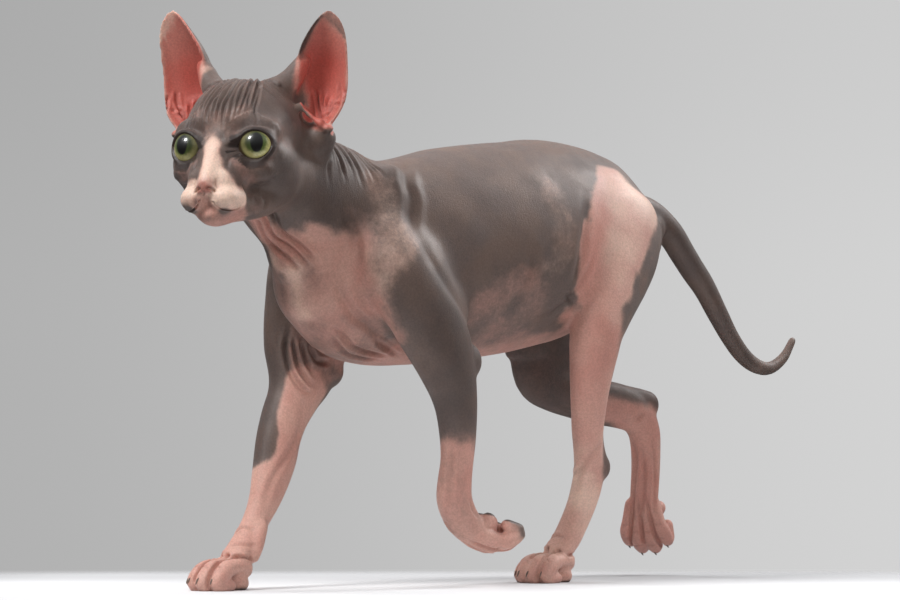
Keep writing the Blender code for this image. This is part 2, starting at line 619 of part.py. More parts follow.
def paint(solid, look):
    """Give the object its own material of the look's colour and roughness."""
    colour, roughness = look
    material = bpy.data.materials.new(solid.name)
    material.use_nodes = True
    shader = material.node_tree.nodes["Principled BSDF"]
    shader.inputs["Base Color"].default_value = (*colour, 1)
    shader.inputs["Roughness"].default_value = roughness
    solid.data.materials.clear()
    solid.data.materials.append(material)


def settle(solids):
    """Move all the solids so that the middle of their outline stands over the origin."""
    corners = np.array([solid.matrix_world @ vertex.co for solid in solids for vertex in solid.data.vertices])
    low, high = corners.min(axis=0), corners.max(axis=0)
    shift = Matrix.Translation((-(low[0] + high[0]) / 2, -(low[1] + high[1]) / 2, -low[2]))
    for solid in solids:
        solid.data.transform(shift)


def main():
    """Build the whole cat."""
    for old in list(bpy.data.objects):
        bpy.data.objects.remove(old)
    cat = close_over(body_form(), SKIN_CELL, SOFT_ROUNDS)
    carve(cat, slab(*NECK_CUT, GAP), solver="MANIFOLD")
    body, head = pieces_of(cat)[:2]
    if middle_of(body)[1] < middle_of(head)[1]:
        body, head = head, body
    thin_out(body, BODY_TRIANGLES)
    thin_out(head, HEAD_TRIANGLES)
    head.name = "head"
    carve(body, slab((0, 0, -10), (0, 0, 1), 400, 20))
    for name, leg in LEG_PARTS.items():
        part_leg(body, name, *leg)
    for centre, direction, half_size in TRUNK_CUTS:
        carve(body, slab(centre, direction, half_size, GAP))
    lengths = pieces_of(body)
    for name, anchor in TRUNK_NODES.items():
        anchor = np.array(place(anchor))
        nearest = min(lengths, key=lambda piece: np.linalg.norm(middle_of(piece) - anchor))
        nearest.name = name
        lengths.remove(nearest)
    for crumb in lengths:
        bpy.data.objects.remove(crumb)
    for side in (1, -1):
        make_ear(head, side)
        add_eye(head, side)
    add_mouth(head)
    solids = list(bpy.data.objects)
    settle(solids)
    for solid in solids:
        paint(solid, NODE_LOOKS.get(solid.name, SKIN_PINK))
        solid.data.shade_smooth()
        solid.data.set_sharp_from_angle(angle=math.radians(40))


if __name__ == "__main__":
    main()
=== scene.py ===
"""A sphynx cat in a walking pose, dressed for a studio picture.

The CAD solids fix where the cat stands and how far it reaches. Here one sculpted skin takes the
place of all the nodes of flesh, with folds, lids, ear folds, toes and pads, and the eyes and
claws are pieces of their own. Forms are laid out in millimetres along the cat's own forward,
left and up directions, and places on the head are measured from between the eyes.
"""
from __future__ import annotations

import logging
import math
from dataclasses import dataclass, replace
from enum import Enum
from typing import Iterable, Sequence

import bmesh
import bpy
import numpy as np
from mathutils import Matrix, Vector
from mathutils.bvhtree import BVHTree

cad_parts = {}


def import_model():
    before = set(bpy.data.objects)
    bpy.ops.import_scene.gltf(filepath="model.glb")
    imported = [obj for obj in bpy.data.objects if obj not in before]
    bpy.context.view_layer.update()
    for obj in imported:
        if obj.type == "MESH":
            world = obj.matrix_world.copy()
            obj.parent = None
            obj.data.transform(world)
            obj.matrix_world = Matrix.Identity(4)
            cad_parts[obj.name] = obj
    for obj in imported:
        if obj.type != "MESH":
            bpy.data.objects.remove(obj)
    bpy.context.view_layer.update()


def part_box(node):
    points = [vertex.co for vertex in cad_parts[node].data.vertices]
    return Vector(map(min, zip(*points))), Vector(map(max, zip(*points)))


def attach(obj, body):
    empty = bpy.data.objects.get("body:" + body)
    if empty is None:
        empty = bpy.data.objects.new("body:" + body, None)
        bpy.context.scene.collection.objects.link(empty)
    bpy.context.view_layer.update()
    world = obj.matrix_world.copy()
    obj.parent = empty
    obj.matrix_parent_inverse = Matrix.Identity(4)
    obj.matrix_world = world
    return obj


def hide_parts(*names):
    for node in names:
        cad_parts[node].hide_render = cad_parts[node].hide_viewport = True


LOG = logging.getLogger("sphynx")
MILLIMETRE = 0.001

Row = tuple[float, ...]
Rows = Sequence[Row]

# The left eyeball's middle and size, and the way the left ear's back faces, measured on the head
LEFT_EYE_AT: Row = (1.5, 17.4, -1.6)
EYE_RADIUS = 10.5
REARWARD: Row = (-0.93, -0.36, -0.08)


class Side(Enum):
    """The two sides of the cat, with the sign of its left direction."""

    LEFT = 1
    RIGHT = -1


class Tone(Enum):
    """Named skin tones: how grey, how red, how pale and how dark the skin is."""

    GREY = (1.0, 0.0, 0.0, 0.0)
    DEEP_GREY = (1.0, 0.0, 0.0, 0.55)
    WARM_GREY = (0.78, 0.1, 0.0, 0.0)
    BROWN = (0.6, 0.2, 0.0, 0.1)
    TAN = (0.45, 0.05, 0.15, 0.05)
    PINK = (0.0, 0.15, 0.0, 0.0)
    DUSKY_PINK = (0.25, 0.25, 0.0, 0.05)
    ROSE = (0.0, 0.6, 0.0, 0.0)
    RED = (0.0, 1.0, 0.0, 0.1)
    CREAM = (0.0, 0.0, 0.9, 0.0)
    PAD = (1.0, 0.0, 0.0, 0.8)
    NOSE = (0.2, 0.35, 0.0, 0.2)
    # A painted highlight: grey skin made paler where the light catches the shoulders and the flanks
    PAINTED_HIGHLIGHT = (0.56, 0.0, 0.6, 0.0)
    FLUSH = (0.06, 0.36, 0.0, 0.0)
    DARK_BROWN = (0.72, 0.2, 0.0, 0.5)
    LID = (0.8, 0.1, 0.0, 0.9)


@dataclass(frozen=True)
class CatSpace:
    """Turns millimetres along the cat's forward, left and up into scene metres and back.

    Attributes:
        shift: Metres from the laid-out cat to the cat as the CAD frame stands it.
        head_at: The point between the eyes, in the cat's millimetres.
        head_turn: How far the head is turned to the left, in degrees.
    """

    shift: tuple[float, float, float]
    head_at: tuple[float, float, float] = (192.5, 20.5, 234.2)
    head_turn: float = 31.5

    def place(self, point: Sequence[float]) -> Vector:
        """Turn one place of the cat into scene metres."""
        raw = Vector((point[1], -point[0], point[2])) * MILLIMETRE
        return raw + Vector(self.shift)

    def direction(self, point: Sequence[float]) -> Vector:
        """Turn a direction along the cat into a scene direction of length one."""
        return Vector((point[1], -point[0], point[2])).normalized()

    @staticmethod
    def heading(directions: np.ndarray) -> np.ndarray:
        """Turn an array of scene directions into directions along the cat."""
        return np.stack((-directions[:, 1], directions[:, 0], directions[:, 2]), axis=1)

    def measure(self, places: np.ndarray) -> np.ndarray:
        """Turn an array of scene places into the cat's millimetres."""
        return self.heading((places - np.array(self.shift)) / MILLIMETRE)

    def unmeasure(self, points: np.ndarray) -> np.ndarray:
        """Turn an array of the cat's millimetres into scene places."""
        local = np.stack((points[:, 1], -points[:, 0], points[:, 2]), axis=1)
        return local * MILLIMETRE + np.array(self.shift)

    def head_place(self, point: Sequence[float]) -> tuple[float, float, float]:
        """Turn a place measured on the head into a place of the cat."""
        turn = math.radians(self.head_turn)
        forward = self.head_at[0] + point[0] * math.cos(turn) - point[1] * math.sin(turn)
        left = self.head_at[1] + point[0] * math.sin(turn) + point[1] * math.cos(turn)
        return (forward, left, self.head_at[2] + point[2])

    def head_heading(self, directions: np.ndarray) -> np.ndarray:
        """Turn an array of directions along the cat into directions along the head."""
        turn = math.radians(self.head_turn)
        ahead, left, up = directions.T
        return np.stack((ahead * math.cos(turn) + left * math.sin(turn),
                         -ahead * math.sin(turn) + left * math.cos(turn), up), axis=1)

    def head_measure(self, points: np.ndarray) -> np.ndarray:
        """Turn an array of places of the cat into places measured on the head."""
        return self.head_heading(points - np.array(self.head_at))

    def head_unmeasure(self, local: np.ndarray) -> np.ndarray:
        """Turn an array of places measured on the head into places of the cat."""
        turn = math.radians(self.head_turn)
        ahead, left, up = local.T
        return np.stack((ahead * math.cos(turn) - left * math.sin(turn),
                         ahead * math.sin(turn) + left * math.cos(turn), up), axis=1) + np.array(self.head_at)

    def curve(self, line: Rows, on_head: bool, steps: int) -> np.ndarray:
        """Run a smooth curve through a line of places.

        Args:
            line: The places.
            on_head: Whether they are measured on the head.
            steps: How many points the curve has for each span.

        Returns:
            Points of the curve in the cat's millimetres.
        """
        return smooth_rows([self.head_place(row) for row in line] if on_head else line, steps)


def smooth_rows(rows: Rows, steps: int) -> np.ndarray:
    """Run a smooth curve through rows of numbers.

    Args:
        rows: The rows that the curve passes through.
        steps: How many places the curve has for each span.

    Returns:
        The rows of the curve.
    """
    table = np.array(rows, dtype=float)
    padded = np.vstack((2 * table[0] - table[1], table, 2 * table[-1] - table[-2]))
    curve = []
    for span in range(len(table) - 1):
        before, start, end, after = padded[span:span + 4]
        for step in range(steps):
            t = step / steps
            curve.append(0.5 * (2 * start + (end - before) * t
                                + (2 * before - 5 * start + 4 * end - after) * t ** 2
                                + (3 * start - before - 3 * end + after) * t ** 3))
    curve.append(table[-1])
    return np.array(curve)


def mirrored(row: Row) -> Row:
    """Carry a place or a tube station to the other side."""
    return (row[0], -row[1]) + tuple(row[2:])


def sides_of(line: Rows, both: bool) -> list[Rows]:
    """Give a line and, where both sides have it, its twin on the other side."""
    return [line, [mirrored(row) for row in line]] if both else [line]


def unit(direction: Iterable[float]) -> np.ndarray:
    """Bring a direction to length one."""
    values = np.array(direction, dtype=float)
    return values / np.linalg.norm(values)


def gap_to(points: np.ndarray, place: Row) -> np.ndarray:
    """Measure how far places lie from one place."""
    return np.linalg.norm(points - np.array(place), axis=1)


def smooth_step(low: float, high: float, values: np.ndarray) -> np.ndarray:
    """Rise smoothly from 0 at low to 1 at high."""
    t = np.clip((values - low) / (high - low), 0, 1)
    return t * t * (3 - 2 * t)


def drift(points: np.ndarray, size: float, seed: int) -> np.ndarray:
    """Give a smooth random field over places.

    Args:
        points: Places in millimetres.
        size: The width of its swells in millimetres.
        seed: Picks one field.

    Returns:
        Values from about -1 to 1.
    """
    width = 24
    lattice = np.random.default_rng(seed).uniform(-1, 1, (width, width, width))
    cell = points / size + 7.3
    base = np.floor(cell).astype(int)
    t = cell - base
    t = t * t * (3 - 2 * t)
    total = np.zeros(len(points))
    for corner in np.ndindex(2, 2, 2):
        weight = np.prod(np.where(np.array(corner) == 1, t, 1 - t), axis=1)
        index = (base + np.array(corner)) % width
        total += weight * lattice[index[:, 0], index[:, 1], index[:, 2]]
    return total


def reach_along(points: np.ndarray, line: np.ndarray) -> tuple[np.ndarray, np.ndarray]:
    """Measure how far places lie from a line of points and where along it they are nearest.

    Args:
        points: Places in millimetres.
        line: Points of the line, in order.

    Returns:
        The distances, and the share of the line passed at the nearest point.
    """
    lengths = np.linalg.norm(np.diff(line, axis=0), axis=1)
    passed = np.concatenate(((0,), np.cumsum(lengths))) / max(lengths.sum(), 1e-9)
    best = np.full(len(points), np.inf)
    share = np.zeros(len(points))
    for index, (start, end) in enumerate(zip(line, line[1:])):
        run = end - start
        t = np.clip((points - start) @ run / max(run @ run, 1e-9), 0, 1)
        reach = np.linalg.norm(points - start - t[:, None] * run, axis=1)
        nearer = reach < best
        best = np.where(nearer, reach, best)
        share = np.where(nearer, passed[index] + t * (passed[index + 1] - passed[index]), share)
    return best, share


def link(name: str, data: bpy.types.ID) -> bpy.types.Object:
    """Put one object into the scene."""
    made = bpy.data.objects.new(name, data)
    bpy.context.scene.collection.objects.link(made)
    return made


def to_object(name: str, form: bmesh.types.BMesh) -> bpy.types.Object:
    """Turn a form into one object of the scene."""
    mesh = bpy.data.meshes.new(name)
    form.to_mesh(mesh)
    form.free()
    return link(name, mesh)


def read_rows(mesh: bpy.types.Mesh, kind: str = "co") -> np.ndarray:
    """Read the places of a mesh, or its normals, as rows of three numbers."""
    flat = np.empty(len(mesh.vertices) * 3)
    mesh.vertices.foreach_get(kind, flat)
    return flat.reshape(-1, 3)


def modify(piece: bpy.types.Object, kind: str, **settings: object) -> None:
    """Run one modifier over a piece and keep its outcome.

    Args:
        piece: The piece.
        kind: The kind of modifier.
        settings: Its settings.
    """
    modifier = piece.modifiers.new(kind.lower(), kind)
    for name, value in settings.items():
        setattr(modifier, name, value)
    graph = bpy.context.evaluated_depsgraph_get()
    graph.update()
    shaped = bpy.data.meshes.new_from_object(piece.evaluated_get(graph))
    piece.modifiers.clear()
    old = piece.data
    piece.data = shaped
    bpy.data.meshes.remove(old)


class FormKit:
    """Gathers closed tubes and balls that together make up a body."""

    def __init__(self, space: CatSpace) -> None:
        """Start with no forms."""
        self.space = space
        self.form = bmesh.new()

    def gather(self, piece: bmesh.types.BMesh) -> None:
        """Add one closed form with its faces outwards."""
        bmesh.ops.recalc_face_normals(piece, faces=piece.faces)
        mesh = bpy.data.meshes.new("form")
        piece.to_mesh(mesh)
        piece.free()
        self.form.from_mesh(mesh)
        bpy.data.meshes.remove(mesh)

    def tube(self, stations: Rows, sides: int = 20, steps: int = 4, across: Row = (0, 1, 0)) -> None:
        """Add an oval tube with round ends.

        Args:
            stations: Rows of forward, left, up, half width and half depth.
            sides: How many sides the tube has.
            steps: How many rings it has for each station.
            across: The direction in which the half width is measured.
        """
        curve = smooth_rows(stations, steps)
        centres, sizes = curve[:, :3], curve[:, 3:5]
        tangents = np.gradient(centres, axis=0)
        tangents /= np.linalg.norm(tangents, axis=1)[:, None]
        ordered = list(zip(centres, tangents, sizes))
        centre, tangent, size = ordered[0]
        ordered[:0] = [self.cap_ring(centre, tangent, size, -tilt) for tilt in (75, 50, 25)]
        centre, tangent, size = ordered[-1]
        ordered += [self.cap_ring(centre, tangent, size, tilt) for tilt in (25, 50, 75)]
        piece = bmesh.new()
        previous: list = []
        for number, (centre, tangent, size) in enumerate(ordered):
            wide = unit(np.array(across, dtype=float) - np.dot(across, tangent) * tangent)
            deep = np.cross(tangent, wide)
            frame = Matrix.Identity(4)
            for column, (axis, length) in enumerate(((wide, size[0]), (deep, size[1]), (tangent, 1.0))):
                frame.col[column] = (*(self.space.direction(axis) * length * MILLIMETRE), 0)
            frame.col[3] = (*self.space.place(centre), 1)
            capped = number in (0, len(ordered) - 1)
            made = bmesh.ops.create_circle(piece, cap_ends=capped, segments=sides, radius=1, matrix=frame)
            ring = set(made["verts"])
            touching = {edge for vertex in ring for edge in vertex.link_edges}
            edges = [edge for edge in touching if set(edge.verts) <= ring]
            if previous:
                bmesh.ops.bridge_loops(piece, edges=previous + edges)
            previous = edges
        self.gather(piece)

    @staticmethod
    def cap_ring(centre: np.ndarray, tangent: np.ndarray, size: np.ndarray,
                 tilt: float) -> tuple[np.ndarray, np.ndarray, np.ndarray]:
        """Give one ring of a tube's round end.

        Args:
            centre: The middle of the tube's last ring.
            tangent: The way the tube runs there.
            size: The tube's half width and half depth there.
            tilt: Degrees from the last ring towards the tip, less than 0 at the tube's start.

        Returns:
            The ring's middle, the way the tube runs, and the ring's half width and half depth.
        """
        angle = math.radians(abs(tilt))
        reach = math.copysign(1, tilt) * min(size) * math.sin(angle)
        return centre + tangent * reach, tangent, size * math.cos(angle)

    def head_tube(self, stations: Rows, **options: object) -> None:
        """Add a tube whose stations are measured on the head."""
        self.tube([self.space.head_place(row) + tuple(row[3:]) for row in stations], **options)

    def ball(self, centre: Row, radii: Row, pitch: float = 0.0, heading: float = 0.0) -> None:
        """Add an egg-shaped mass.

        Args:
            centre: Its centre on the cat.
            radii: Its half sizes forward, left and up.
            pitch: Degrees that it is turned nose-down.
            heading: Degrees that it is turned to the left.
        """
        turn = (Matrix.Rotation(math.radians(heading), 4, "Z")
                @ Matrix.Rotation(math.radians(pitch), 4, "X"))
        forward, left, up = (radius * MILLIMETRE for radius in radii)
        size = Matrix.Diagonal((left, forward, up, 1))
        piece = bmesh.new()
        bmesh.ops.create_uvsphere(piece, u_segments=28, v_segments=18, radius=1,
                                  matrix=Matrix.Translation(self.space.place(centre)) @ turn @ size)
        self.gather(piece)

    def head_ball(self, centre: Row, radii: Row) -> None:
        """Add an egg-shaped mass whose centre is measured on the head."""
        self.ball(self.space.head_place(centre), radii, heading=self.space.head_turn)

    def head_pairs(self, balls: Iterable[tuple[Row, Row]]) -> None:
        """Add egg-shaped masses that both sides of the head have."""
        for centre, radii in balls:
            self.head_ball(centre, radii)
            self.head_ball(mirrored(centre), radii)

    def finish(self, name: str) -> bpy.types.Object:
        """Make one object of all the forms."""
        return to_object(name, self.form)


@dataclass
class Paw:
    """One paw: four toes with their pads, the large pad and the back of the paw.

    Attributes:
        name: The CAD node that it stands for.
        centre: The middle of its row of knuckles.
        ahead: The direction of the toes.
        back: The direction of the back of the paw.
        spread: How far the toes are spread.
        toe_offsets: How far each toe lies from the middle.
        toe_reach: How far each toe reaches ahead of the knuckles.
    """

    name: str
    centre: Row
    ahead: Row
    back: Row
    spread: float
    toe_offsets: Row = (-11.2, -3.9, 3.9, 11.2)
    toe_reach: Row = (15.5, 20, 20, 15.5)

    def __post_init__(self) -> None:
        """Square the paw's own directions."""
        self.toeward = unit(self.ahead)
        backward = np.array(self.back, dtype=float)
        self.backward = unit(backward - np.dot(backward, self.toeward) * self.toeward)
        self.sideward = np.cross(self.backward, self.toeward)

    def at(self, x: float, y: float, z: float) -> Row:
        """Turn a place measured on the paw into a place of the cat."""
        return tuple(np.array(self.centre) + self.toeward * x + self.sideward * y * self.spread
                     + self.backward * z)

    def lay(self, kit: FormKit) -> None:
        """Lay out the toes, pads and back of the paw."""
        across = tuple(self.sideward)
        for offset, reach in zip(self.toe_offsets, self.toe_reach):
            toe = (
                self.at(-9, offset * 0.62, 13) + (4.2, 4.4),
                self.at(reach - 14, offset * 0.82, 13) + (4.3, 4.3),
                self.at(reach - 8.5, offset * 0.96, 11.6) + (4.8, 4.8),
                self.at(reach - 3.8, offset * 1.04, 8) + (4.4, 4.2),
                self.at(reach - 1.5, offset * 1.06, 5.2) + (3.8, 3.6),
            )
            kit.tube(toe, sides=16, across=across)
            pad = (self.at(reach - 11, offset, 3.4) + (3.8, 3.6),
                   self.at(reach - 3, offset * 1.04, 2.8) + (3.9, 3.4))
            kit.tube(pad, sides=14, across=across)
        palm = (self.at(-6, -6.5, 4.6) + (4.8, 5), self.at(-1, 0, 4) + (6, 4.8),
                self.at(-6, 6.5, 4.6) + (4.8, 5))
        kit.tube(palm, sides=16, across=tuple(self.toeward))
        back = (self.at(-10, 0, 11.5) + (9.2, 5.6), self.at(-1, 0, 10.5) + (9.8, 4.6))
        kit.tube(back, sides=18, across=across)

    def knuckle_lines(self) -> list[list[Row]]:
        """Give the lines of the creases across each toe."""
        return [[self.at(along, offset * 0.92 + step, high - abs(step) * 0.7) for step in (-2.8, 0, 2.8)]
                for offset, reach in zip(self.toe_offsets, self.toe_reach)
                for along, high in ((reach - 12.2, 18), (reach - 4.6, 13.2))]

    def toe_gaps(self) -> list[list[Row]]:
        """Give the lines of the gaps between the toes, from the back of the paw to the ground."""
        return [[self.at(-14, gap * 0.55, 17), self.at(-5, gap * 0.7, 17.5), self.at(3, gap * 0.86, 17),
                 self.at(9, gap * 0.95, 14.5), self.at(13.5, gap, 10), self.at(15.5, gap * 1.02, 5),
                 self.at(14, gap * 1.02, 1)] for gap in (-7.5, 0, 7.5)]

    def claw_paths(self) -> list[list[Row]]:
        """Give the stations of each claw, from inside the toe to its tip."""
        return [[self.at(reach - 2.5, offset * 1.06, 7.6) + (0.7, 1.1),
                 self.at(reach + 0.4, offset * 1.065, 7.2) + (0.6, 0.95),
                 self.at(reach + 1.9, offset * 1.07, 6.1) + (0.4, 0.65),
                 self.at(reach + 2.7, offset * 1.075, 4.5) + (0.15, 0.25)]
                for offset, reach in zip(self.toe_offsets, self.toe_reach)]


@dataclass
class Ear:
    """One cupped ear, made for the left side and mirrored for the right.

    Attributes:
        side: The side of the head.
        inner_edge: The margin towards the crown, from the root to the tip.
        outer_edge: The margin away from the crown, from the root to the tip.
        depth: How deep the cup is at each place of the margins.
        wall: How thick the ear is there.
        rise: How much taller than the left ear it stands.
        columns: How many cells the sheet has from margin to margin.
        rows: How many cells it has from the root to the tip.
    """

    side: Side
    inner_edge: Rows = (
        (-27, 24, 18), (-30, 27, 32), (-31.5, 27.6, 43), (-29.5, 30.5, 54), (-28.5, 36, 63.5),
        (-29.4, 41.2, 70.6), (-30, 45.4, 74),
    )
    outer_edge: Rows = (
        (-35, 40, 9), (-35, 49.5, 20), (-37.5, 52.8, 31), (-36.8, 53.6, 45), (-33.2, 54, 59.5),
        (-31.2, 51.6, 68.5), (-30.2, 47, 73.6),
    )
    depth: Row = (11, 13, 12, 9.5, 6, 2.4, 0.6)
    wall: Row = (3.2, 2.7, 2.4, 2.2, 2.0, 1.9, 1.8)
    rise: float = 1.0
    columns: int = 14
    rows: int = 20

    def lay(self, kit: FormKit) -> None:
        """Lay out the ear as a closed cupped sheet that sinks into the skull."""
        inner = smooth_rows(self.inner_edge, self.rows)
        outer = smooth_rows(self.outer_edge, self.rows)
        depth, wall = smooth_rows(list(zip(self.depth, self.wall)), self.rows).T
        sheet = bmesh.new()
        bmesh.ops.create_grid(sheet, x_segments=self.columns, y_segments=self.rows, size=1)
        rear = bmesh.ops.extrude_face_region(sheet, geom=list(sheet.faces), use_keep_orig=True)
        pushed = {item for item in rear["geom"] if isinstance(item, bmesh.types.BMVert)}
        for vertex in sheet.verts:
            column = vertex.co.x
            row = min(int(round((vertex.co.y + 1) / 2 * (len(inner) - 1))), len(inner) - 1)
            push = 1.0 if vertex in pushed else 0.0
            middle = (inner[row] + outer[row]) / 2
            chord = (outer[row] - inner[row]) / 2
            shape = max(1 - column ** 2, 0.0) ** 0.7
            narrow = 1 + push * wall[row] * 0.5 / max(float(np.linalg.norm(chord)), 1)
            point = middle + chord * column * narrow
            point = point + np.array(REARWARD) * (depth[row] * shape + push * wall[row])
            point[1] -= depth[row] * shape * (1 - column) * 0.24
            seat = kit.space.head_place((point[0], point[1] * self.side.value, point[2] * self.rise))
            vertex.co = kit.space.place(seat)
        kit.gather(sheet)


@dataclass
class Cat:
    """The whole cat's forms, the same that the CAD solids are made from, laid out finer.

    Rows of the trunk, neck, tail and legs are forward, left, up, half width and half depth. What
    stands after the paws is measured on the head.

    Attributes:
        torso: The trunk, from the rump to the chest.
        neck: The neck, from the shoulders to the head.
        tail: The tail, from its root to its tip.
        foreleg_right: The foreleg that stands ahead.
        foreleg_left: The foreleg that swings back.
        hindleg_left: The hind leg that stands.
        hindleg_right: The hind leg that pushes off.
        masses: Muscles and joints: centre, radii and degrees of pitch.
        sinews: The tendons at the back of the hind legs.
        dewclaw: The small inner toe of the right foreleg.
        paws: The four paws.
        head_balls: Masses on the middle of the head: centre and radii.
        head_pairs: Masses that both sides of the head have.
        nose_bridge: The ridge from the forehead to the nose.
        ear_root: The ridge that leads up to an ear.
        jaw: The edge of the lower jaw.
        cheek_back: The mass behind the left cheek.
        ears: Both ears.
        ear_bowls: The hollows that an ear opens into.
        ear_lobes: The lobes along the lower edge of its opening.
    """

    torso: Rows = (
        (-131, 0, 210, 12, 12.5), (-121, 0, 206.5, 23, 24.5), (-107, 0, 205, 31, 34.5),
        (-88, 0, 204.5, 38.5, 46.5), (-55, 0, 200.5, 47, 56.5), (-20, 0, 193.5, 52, 60), (20, 0, 187, 50, 60.5),
        (60, 0, 180.5, 44, 58), (92, 0, 177.5, 37, 54.5), (114, 0, 181, 29, 43), (127, 2, 187, 20, 27),
    )
    neck: Rows = (
        (84, 0, 190, 33, 44), (106, 0, 202, 30, 40), (126, 1, 212, 28, 36), (143, 3, 220, 27, 32),
        (156, 6, 226, 26, 28),
    )
    tail: Rows = (
        (-112, 0, 221, 11.5, 11.5), (-134, 0, 218, 9.4, 9.6), (-151, 0, 208.3, 8.4, 8.2),
        (-165, 0, 193, 7.8, 7.8), (-180, 0, 177, 7.2, 7.4), (-193, 0, 159.2, 6.5, 6.7),
        (-207.5, 0, 141.2, 5.8, 5.9), (-222, 0, 130.5, 5, 5.1), (-237, 0, 127.4, 4.3, 4.4),
        (-250.5, 0, 134, 3.6, 3.7), (-259.5, 0, 145.5, 2.6, 2.7),
    )
    foreleg_right: Rows = (
        (90, -22, 196, 14, 25), (96, -33, 179, 17, 26), (96.5, -39, 155, 15.5, 25.5), (96, -40, 132, 14, 25.5),
        (98.5, -39.5, 117, 14, 21.5), (104, -38.5, 104.8, 13.2, 15.6), (110.2, -38, 93.8, 12.2, 13.8),
        (115.2, -36.8, 82.4, 11.4, 13), (118.6, -35.4, 71, 10.5, 12.9), (123.5, -33.2, 59, 9.3, 11.4),
        (128.2, -32, 48.1, 8, 9.4), (134.5, -31, 37.3, 7.2, 7.6), (142.2, -29, 27, 8, 7),
        (152, -26.5, 17.5, 9.4, 6),
    )
    foreleg_left: Rows = (
        (82, 22, 196, 14, 26), (85, 33, 179, 17.5, 27), (78, 40, 156, 16, 24), (66, 42, 134, 14.5, 20.5),
        (59, 42, 119, 13, 17), (54, 41, 107, 11.7, 14), (51, 40, 96.1, 10.4, 12.2), (48.5, 38, 80.9, 9.1, 10.7),
        (48.4, 37, 68.8, 8.3, 9.8), (49.2, 36, 57.9, 8.6, 10.2), (48, 34.5, 47.5, 9.2, 10.4),
        (40.6, 33, 36.6, 9.8, 9.2), (30, 32, 29, 10, 7.8), (21, 32, 25, 10, 6.8),
    )
    hindleg_left: Rows = (
        (-84, 22, 214, 20, 32), (-81, 27, 199, 20, 32), (-74.8, 32, 183, 19, 27.8), (-66, 36.5, 168, 17, 23),
        (-58.2, 40, 155, 15.4, 18.8), (-52, 42, 144.2, 14.2, 16.4), (-49.8, 42, 132.7, 12.8, 15.4),
        (-49, 40.3, 118.4, 11.2, 13.4), (-50.6, 36.8, 104.2, 9.8, 11.6), (-55, 30.8, 87.2, 8.6, 10),
        (-59.4, 26.2, 75.8, 8, 9), (-63.6, 22.4, 64.3, 8.2, 9.4), (-63.8, 20, 54, 8.6, 9.2),
        (-61.6, 17.5, 43, 8.6, 8.4), (-58, 15.5, 33.3, 8.6, 8), (-53, 14.2, 24, 9.2, 7.4),
        (-46.5, 13, 16.8, 9.6, 6.2),
    )
    hindleg_right: Rows = (
        (-88, -22, 214, 20, 34), (-86, -27, 196, 20, 33), (-82, -32, 175, 18.5, 29),
        (-75, -35.5, 153, 16.5, 25), (-81, -37, 134, 14.5, 25.5), (-80.5, -37, 121, 13, 19),
        (-90, -36, 114, 12, 15.6), (-102.5, -35, 110, 11, 14.6), (-119.2, -32, 105.8, 10.4, 14.2),
        (-137.2, -29, 102.8, 9.6, 13.8), (-148.5, -27, 97.5, 9.4, 12.4), (-154.5, -26, 88, 9.6, 10.2),
        (-156, -26, 76, 9.4, 9), (-155.8, -26, 64, 9.4, 8.4), (-155, -26, 54, 9.8, 7.6),
        (-154.2, -26, 45, 10, 7), (-153.6, -26, 38, 10.2, 6.6),
    )
    masses: tuple = (
        ((80, 22, 198), (30, 14, 34), 25), ((86, -22, 198), (30, 14, 34), 15),
        ((64, 38, 152), (20, 12, 24), 30), ((84, -37, 144), (19, 12, 25), 10),
        ((46.5, 42, 124), (10, 8.5, 11), 0), ((81.5, -38.5, 120), (11.5, 9, 10.5), 0),
        ((-92, 22, 202), (25, 20, 27), 0), ((-93, -22, 201), (25, 20, 27), 0),
        ((-82.5, 30, 187), (15, 13, 26.5), -25), ((-92, -30, 176), (17, 13, 28), -10),
        ((-71.5, 22.5, 66), (7.6, 6.3, 8.5), 0), ((-156.5, -26, 104), (9, 7, 9), 0),
        ((-30, 0, 178), (55, 48, 42), 0), ((112, 0, 187), (20, 28, 29), 0),
    )
    sinews: tuple = (
        ((-58, 34, 108, 6, 7), (-65, 27.4, 84, 4, 4.6), (-72.5, 23, 68, 4.4, 4.6)),
        ((-98, -35, 117, 6, 7), (-130, -30, 113, 4.4, 5), (-153, -26.5, 109, 4.8, 5)),
    )
    dewclaw: Rows = ((136, -23, 34, 3.6, 3.6), (141, -21, 24, 4, 4), (143.5, -20.5, 17.5, 3.2, 3.2))
    paws: tuple = (
        Paw("forepaw_right", (159, -25.5, -0.8), (1, 0.05, 0), (0, 0, 1), 0.86),
        Paw("forepaw_left", (20, 32, 38.5), (-0.94, 0, -0.34), (0.34, 0, -0.94), 0.96),
        Paw("hindpaw_left", (-42, 12.5, -0.8), (1, 0.05, 0), (0, 0, 1), 0.86),
        Paw("hindpaw_right", (-165, -31, 35), (-0.06, 0, -1), (0.9, 0.42, -0.05), 1.04),
    )
    head_balls: tuple = (
        ((-24, 0, 8), (33, 31, 29.8)), ((-9, 0, 11), (21, 24, 18)), ((-20, 0, -20), (25, 23, 18)),
        ((13, 0, -38.5), (10.5, 9, 5.6)), ((25.2, 0, -24.4), (5, 5.6, 5)), ((8, 0, -24), (17, 14, 14)),
    )
    head_pairs: tuple = (
        ((-1.5, 14.5, 8.5), (9.5, 13, 6.5)), ((8, 9, -4), (8, 5.5, 8)), ((-13, 20.5, -9), (19, 13.5, 15)),
        ((-22, 19.5, -14), (17, 14, 17)), ((16.3, 8.3, -30), (12.2, 9.4, 7.6)),
        (LEFT_EYE_AT, (11.9, 11.9, 11.9)), ((7, 9, -15), (12, 8.4, 9)), ((-3, 19.5, 6.5), (10, 11, 8.5)),
        ((-44, 33, 5), (10, 13, 10)), ((16.5, 7.2, -20.5), (8.5, 6.6, 7.5)), ((3, 20, -14), (8, 9, 7)),
    )
